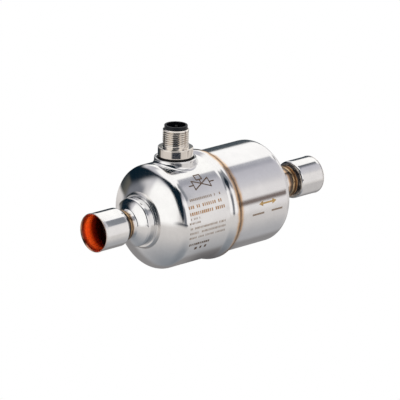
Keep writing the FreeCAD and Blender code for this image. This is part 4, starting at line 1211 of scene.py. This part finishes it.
# angle round the shell, start and length along it, rows, their pitch, dash, height, fill, seed, finish
markBlocks = {
    "line": (30.3, 40.0, 18.4, 1, 3.0, 1.05, 1.15, 0.62, 5, "pale"),
    "title": (15.6, 38.2, 21.0, 2, 3.1, 1.15, 1.5, 0.66, 8, "warm"),
    "notes": (5.6, 37.4, 6.0, 2, 2.0, 0.8, 0.9, 0.6, 13, "pale"),
    "figures": (-11.3, 37.8, 21.5, 3, 2.35, 0.85, 1.0, 0.6, 21, "pale"),
    "code": (-19.8, 38.6, 11.6, 1, 2.0, 1.15, 1.2, 0.78, 34, "dark"),
    "blocks": (-26.2, 43.2, 6.0, 1, 2.0, 2.2, 1.5, 0.7, 55, "dark"),
}
markFinishes = {
    "dark": ((0.16, 0.105, 0.07), (0.10, 0.065, 0.045)),
    "warm": ((0.50, 0.31, 0.17), (0.38, 0.22, 0.12)),
    "pale": ((0.36, 0.28, 0.22), (0.27, 0.21, 0.17)),
    "gold": ((0.62, 0.42, 0.17), (0.50, 0.32, 0.12)),
}


dashForm = {"gaps": 0.1, "narrow": 0.7, "wide": 1.25}   # the share left out, and the dashes' range of lengths


def dashTree(sizes):
    # rows of short bars laid on a cylinder round the pipe's axis
    tree, given = startTree("burnt_dashes", sizes)
    radius, seed = given["Radius"], given["Seed"]
    deep = (given["Rows"] - 1.0) * given["Row Pitch"]
    sheet = grid(tree, given["Columns"], calc("MAXIMUM", given["Rows"], 2.0), given["Length"],
                 calc("MAXIMUM", deep, 1e-5))
    dots = port(tree, "GeometryNodeMeshToPoints", {"Mesh": sheet})
    x, y, z = position(tree)
    extra = calc("GREATER_THAN", y, 1e-6) * calc("LESS_THAN", given["Rows"], 1.5)
    odds = {"Probability": dashForm["gaps"], "Seed": seed}
    gap = port(tree, "FunctionNodeRandomValue", odds, 3, data_type="BOOLEAN")
    dropped = {"Geometry": dots, "Selection": calc("MAXIMUM", extra, gap)}
    kept = port(tree, "GeometryNodeDeleteGeometry", dropped, domain="POINT")
    reach = {2: dashForm["narrow"], 3: dashForm["wide"], "Seed": seed}
    wide = port(tree, "FunctionNodeRandomValue", reach, 1, data_type="FLOAT")
    size = vector(given["Dash"] * given["Fill"] * wide, given["Tall"], 1.0)
    bars = {"Points": kept, "Instance": grid(tree, 3, 4), "Scale": size}
    flat = port(tree, "GeometryNodeRealizeInstances",
                {"Geometry": port(tree, "GeometryNodeInstanceOnPoints", bars)})
    x, y, z = position(tree)
    angle = given["Angle"] + (y + deep * 0.5) / radius
    along = given["Start"] + given["Length"] * 0.5 + x
    wrapped = bentTo(flat, along, radius * -1.0 * cosine(angle), radius * sine(angle))
    endTree(tree, wrapped, given["Finish"])
    return tree


def burntFinish(name, colour, shade):
    # the oxide skin that a marking laser leaves: mottled and slightly glossy
    material, shader, spot, *rest = startFinish(name)
    speckle = noise(spot, 5.0, 3.0, 0.7)
    wear(shader, blend(ramp(speckle, 0.35, 0.65), shade, colour), grainy(speckle, (0.3, 0.45)), 0.6)
    return material


def makeMarks():
    finishes = {name: burntFinish("mark_" + name, *colours) for name, colours in markFinishes.items()}
    radius = frontForm["radius"] + markProud
    tree = None
    for name, (angle, start, length, rows, pitch, dash, tall, fill, seed, finish) in markBlocks.items():
        sizes = {"Start": start * mm, "Length": length * mm, "Columns": max(2, round(length / dash)),
                 "Rows": rows, "Row Pitch": pitch * mm, "Dash": dash * mm, "Tall": tall * mm,
                 "Angle": radians(angle), "Radius": radius * mm, "Fill": fill, "Seed": seed}
        tree = tree or dashTree(sizes)
        place(grow("marks_" + name, tree, sizes, finishes[finish]), "housing", "shell_steel")
    rearMarks(finishes)
    valveSymbol(finishes)


arrowForm = {"angle": 6.7, "middle": 86.9, "half": 5.6, "head": 2.6, "headHalf": 1.35, "shaftHalf": 0.42,
             "steps": 12, "bars": [(77.2, 84.7, -4.0), (89.5, 96.5, -3.9)], "barTall": 0.9, "barSteps": 6}
symbolForm = {"angle": 45.6, "middle": 50.6, "body": 4.9, "reach": 7.8, "half": 2.3, "line": 0.3,
              "box": 1.7, "boxTall": 2.6, "steps": 10, "layer": 0.0006, "slantLine": 0.33}


def wrapStrips(name, strips, radius, finish):
    # strips of (along, low, high) laid on a cylinder, heights in mm round it from a base height
    points, faces = [], []
    rows = 5
    for base, strip in strips:
        first = len(points)
        for along, low, high in strip:
            for row in range(rows):
                angle = (base + low + (high - low) * row / (rows - 1)) / radius
                points.append(Vector((along, -radius * cos(angle), radius * sin(angle))) * mm)
        for column in range(len(strip) - 1):
            for row in range(rows - 1):
                corner = first + column * rows + row
                faces.append([corner, corner + rows, corner + rows + 1, corner + 1])
    place(finishMesh(name, points, faces, finish, 180, False), "housing", "shell_steel")


def rearMarks(finishes):
    # a two-way flow arrow over two short bars, wrapped on the rear shell
    form = Sizes(**arrowForm)
    radius = rearForm["radius"] + markProud
    tip, neck = form.half, form.half - form.head
    edges = [(-tip, 0), (-neck, form.headHalf)]
    edges += [(along, form.shaftHalf) for along in evenly(-neck, neck, form.steps)]
    edges += [(neck, form.headHalf), (tip, 0)]
    arrow = [(form.middle + along, -half, half) for along, half in edges]
    wrapStrips("flow_arrow", [(radians(form.angle) * radius, arrow)], radius, finishes["gold"])
    half = form.barTall / 2
    bars = [(radians(angle) * radius, [(along, -half, half) for along in evenly(start, end, form.barSteps)])
            for start, end, angle in form.bars]
    wrapStrips("flow_bars", bars, radius, finishes["pale"])


def valveSymbol(finishes):
    # the drawing-board sign for a motor valve: two triangles tip to tip, a stem and a square
    form = Sizes(**symbolForm)
    radius = frontForm["radius"] + markProud
    base = radians(form.angle) * radius
    body, half, line = form.body, form.half, form.line

    def bar(first, last, low, high, steps=2):
        return [(form.middle + along, low, high) for along in evenly(first, last, steps)]

    def slant(rise):
        heights = evenly(rise * half, -rise * half, form.steps)
        return [(form.middle + along, height - form.slantLine, height + form.slantLine)
                for along, height in zip(evenly(-body, body, form.steps), heights)]

    box, lift = form.box, half + form.boxTall
    strips = [slant(1), slant(-1)]
    strips += [bar(side * body - line, side * body + line, -half - line, half + line) for side in (-1, 1)]
    strips += [bar(-form.reach, -body, -line, line, 4), bar(body, form.reach, -line, line, 4)]
    strips += [bar(-line, line, 0, half)]
    strips += [bar(-box, box, height - line, height + line) for height in (half, lift)]
    strips += [bar(side * box - line, side * box + line, half - line, lift + line) for side in (-1, 1)]
    for number, strip in enumerate(strips):
        lifted = radius + form.layer * number   # crossing lines don't share a surface
        wrapStrips(f"valve_symbol_{number + 1}", [(base * lifted / radius, strip)], lifted, finishes["dark"])


makeMarks()
print("marks made")


# Finishes of the CAD nodes that stay

def ribbonFinish():
    # flat cable: amber film over copper tracks
    material, shader, spot, *rest = startFinish("lead_film")
    pitch = 1.25
    tracks = sine(parts(spot)[1] * (2 * pi / pitch))
    colour = blend(ramp(tracks, -0.1, 0.2), (0.42, 0.20, 0.05), (0.72, 0.40, 0.16))
    wear(shader, colour, grainy(noise(spot, 3.0), (0.22, 0.34)), 0.0, (tracks, 0.4, 0.00005))
    return material


def windingFinish():
    # enamelled wire wound side by side in layers
    material, shader, spot, along, out, angle = startFinish("winding_wire")
    wire = 0.28
    strand = sine((along + out) * (2 * pi / wire))
    shade = noise(spot, 1.2)
    # the dark lines between the wires are painted shade in the grooves
    colour = blend(ramp(strand, -0.9, 0.5), (0.16, 0.045, 0.012), (0.72, 0.30, 0.11))
    colour = blend(ramp(shade, 0.3, 0.7, 0.0, 0.35), colour, (0.50, 0.17, 0.05))
    wear(shader, colour, grainy(shade, (0.2, 0.34)), 0.85, (strand, 0.8, 0.00012))
    return material


def sealGlass():
    material, shader, spot, *rest = startFinish("seal_glass")
    cloud = noise(spot, 1.5)
    colour = blend(cloud, (0.10, 0.20, 0.18), (0.20, 0.34, 0.30))
    wear(shader, colour, grainy(cloud, (0.05, 0.12)), specular=0.6)
    return material


# slot, then the material's name, colour, shade, roughness, rings to the mm and relief
turnedSlots = {
    "motor_steel": ("motor_steel", (0.66, 0.66, 0.67), (0.56, 0.56, 0.57), (0.22, 0.34), 3.0, 0.12),
    "pole_steel": ("pole_steel", (0.58, 0.58, 0.56), (0.46, 0.46, 0.45), (0.28, 0.42), 2.0, 0.1),
    "hub_aluminium": ("hub_aluminium", (0.78, 0.78, 0.79), (0.70, 0.70, 0.72), (0.2, 0.3), 6.0, 0.15),
    "spindle_steel": ("ground_steel", (0.72, 0.72, 0.73), (0.64, 0.64, 0.65), (0.12, 0.2), 9.0, 0.08),
    "bronze": ("turned_bronze", (0.72, 0.50, 0.24), (0.58, 0.38, 0.17), (0.2, 0.32), 6.0, 0.15),
    "bearing_steel": ("bearing_steel", (0.80, 0.80, 0.81), (0.74, 0.74, 0.75), (0.06, 0.11), 8.0, 0.03),
    "valve_steel": ("valve_steel", (0.74, 0.74, 0.74), (0.66, 0.66, 0.66), (0.16, 0.26), 6.0, 0.12),
}
# slot, then the material's name, colour, shade, roughness, grain, relief and metal
mouldedSlots = {
    "connector_plastic": ("plug_plastic", (0.03, 0.03, 0.032), (0.02, 0.02, 0.022), (0.35, 0.5), 3.0),
    "bobbin_plastic": ("bobbin_plastic", (0.74, 0.72, 0.64), (0.66, 0.63, 0.55), (0.38, 0.5), 2.5),
    "magnet": ("sintered_magnet", (0.085, 0.085, 0.095), (0.055, 0.055, 0.06), (0.4, 0.6), 6.0, 0.5, 0.4),
    "cage_plastic": ("cage_plastic", (0.70, 0.62, 0.42), (0.60, 0.52, 0.34), (0.35, 0.5), 3.0),
    "seat_plastic": ("seat_plastic", (0.78, 0.73, 0.60), (0.70, 0.64, 0.50), (0.3, 0.42), 2.0, 0.15),
}


def dressFrame():
    finishes = {"seal_glass": sealGlass(), "lead_film": ribbonFinish(), "winding_copper": windingFinish()}
    for slot, (name, *look) in turnedSlots.items():
        finishes[slot] = turnedMetal(name, **dict(zip(("colour", "shade", "rough", "lines", "relief"), look)))
    for slot, look in mouldedSlots.items():
        finishes[slot] = plainMaterial(*look)
    dressed = 0
    for row in frame["record"]["subparts"]:
        finish = finishes.get(row["material_slot"])
        node = frame["nodes"][row["node"]]
        if finish is None or node.hide_render:
            continue
        node.data.materials.clear()
        node.data.materials.append(finish)
        dressed += 1
    print("CAD nodes dressed:", dressed)


dressFrame()
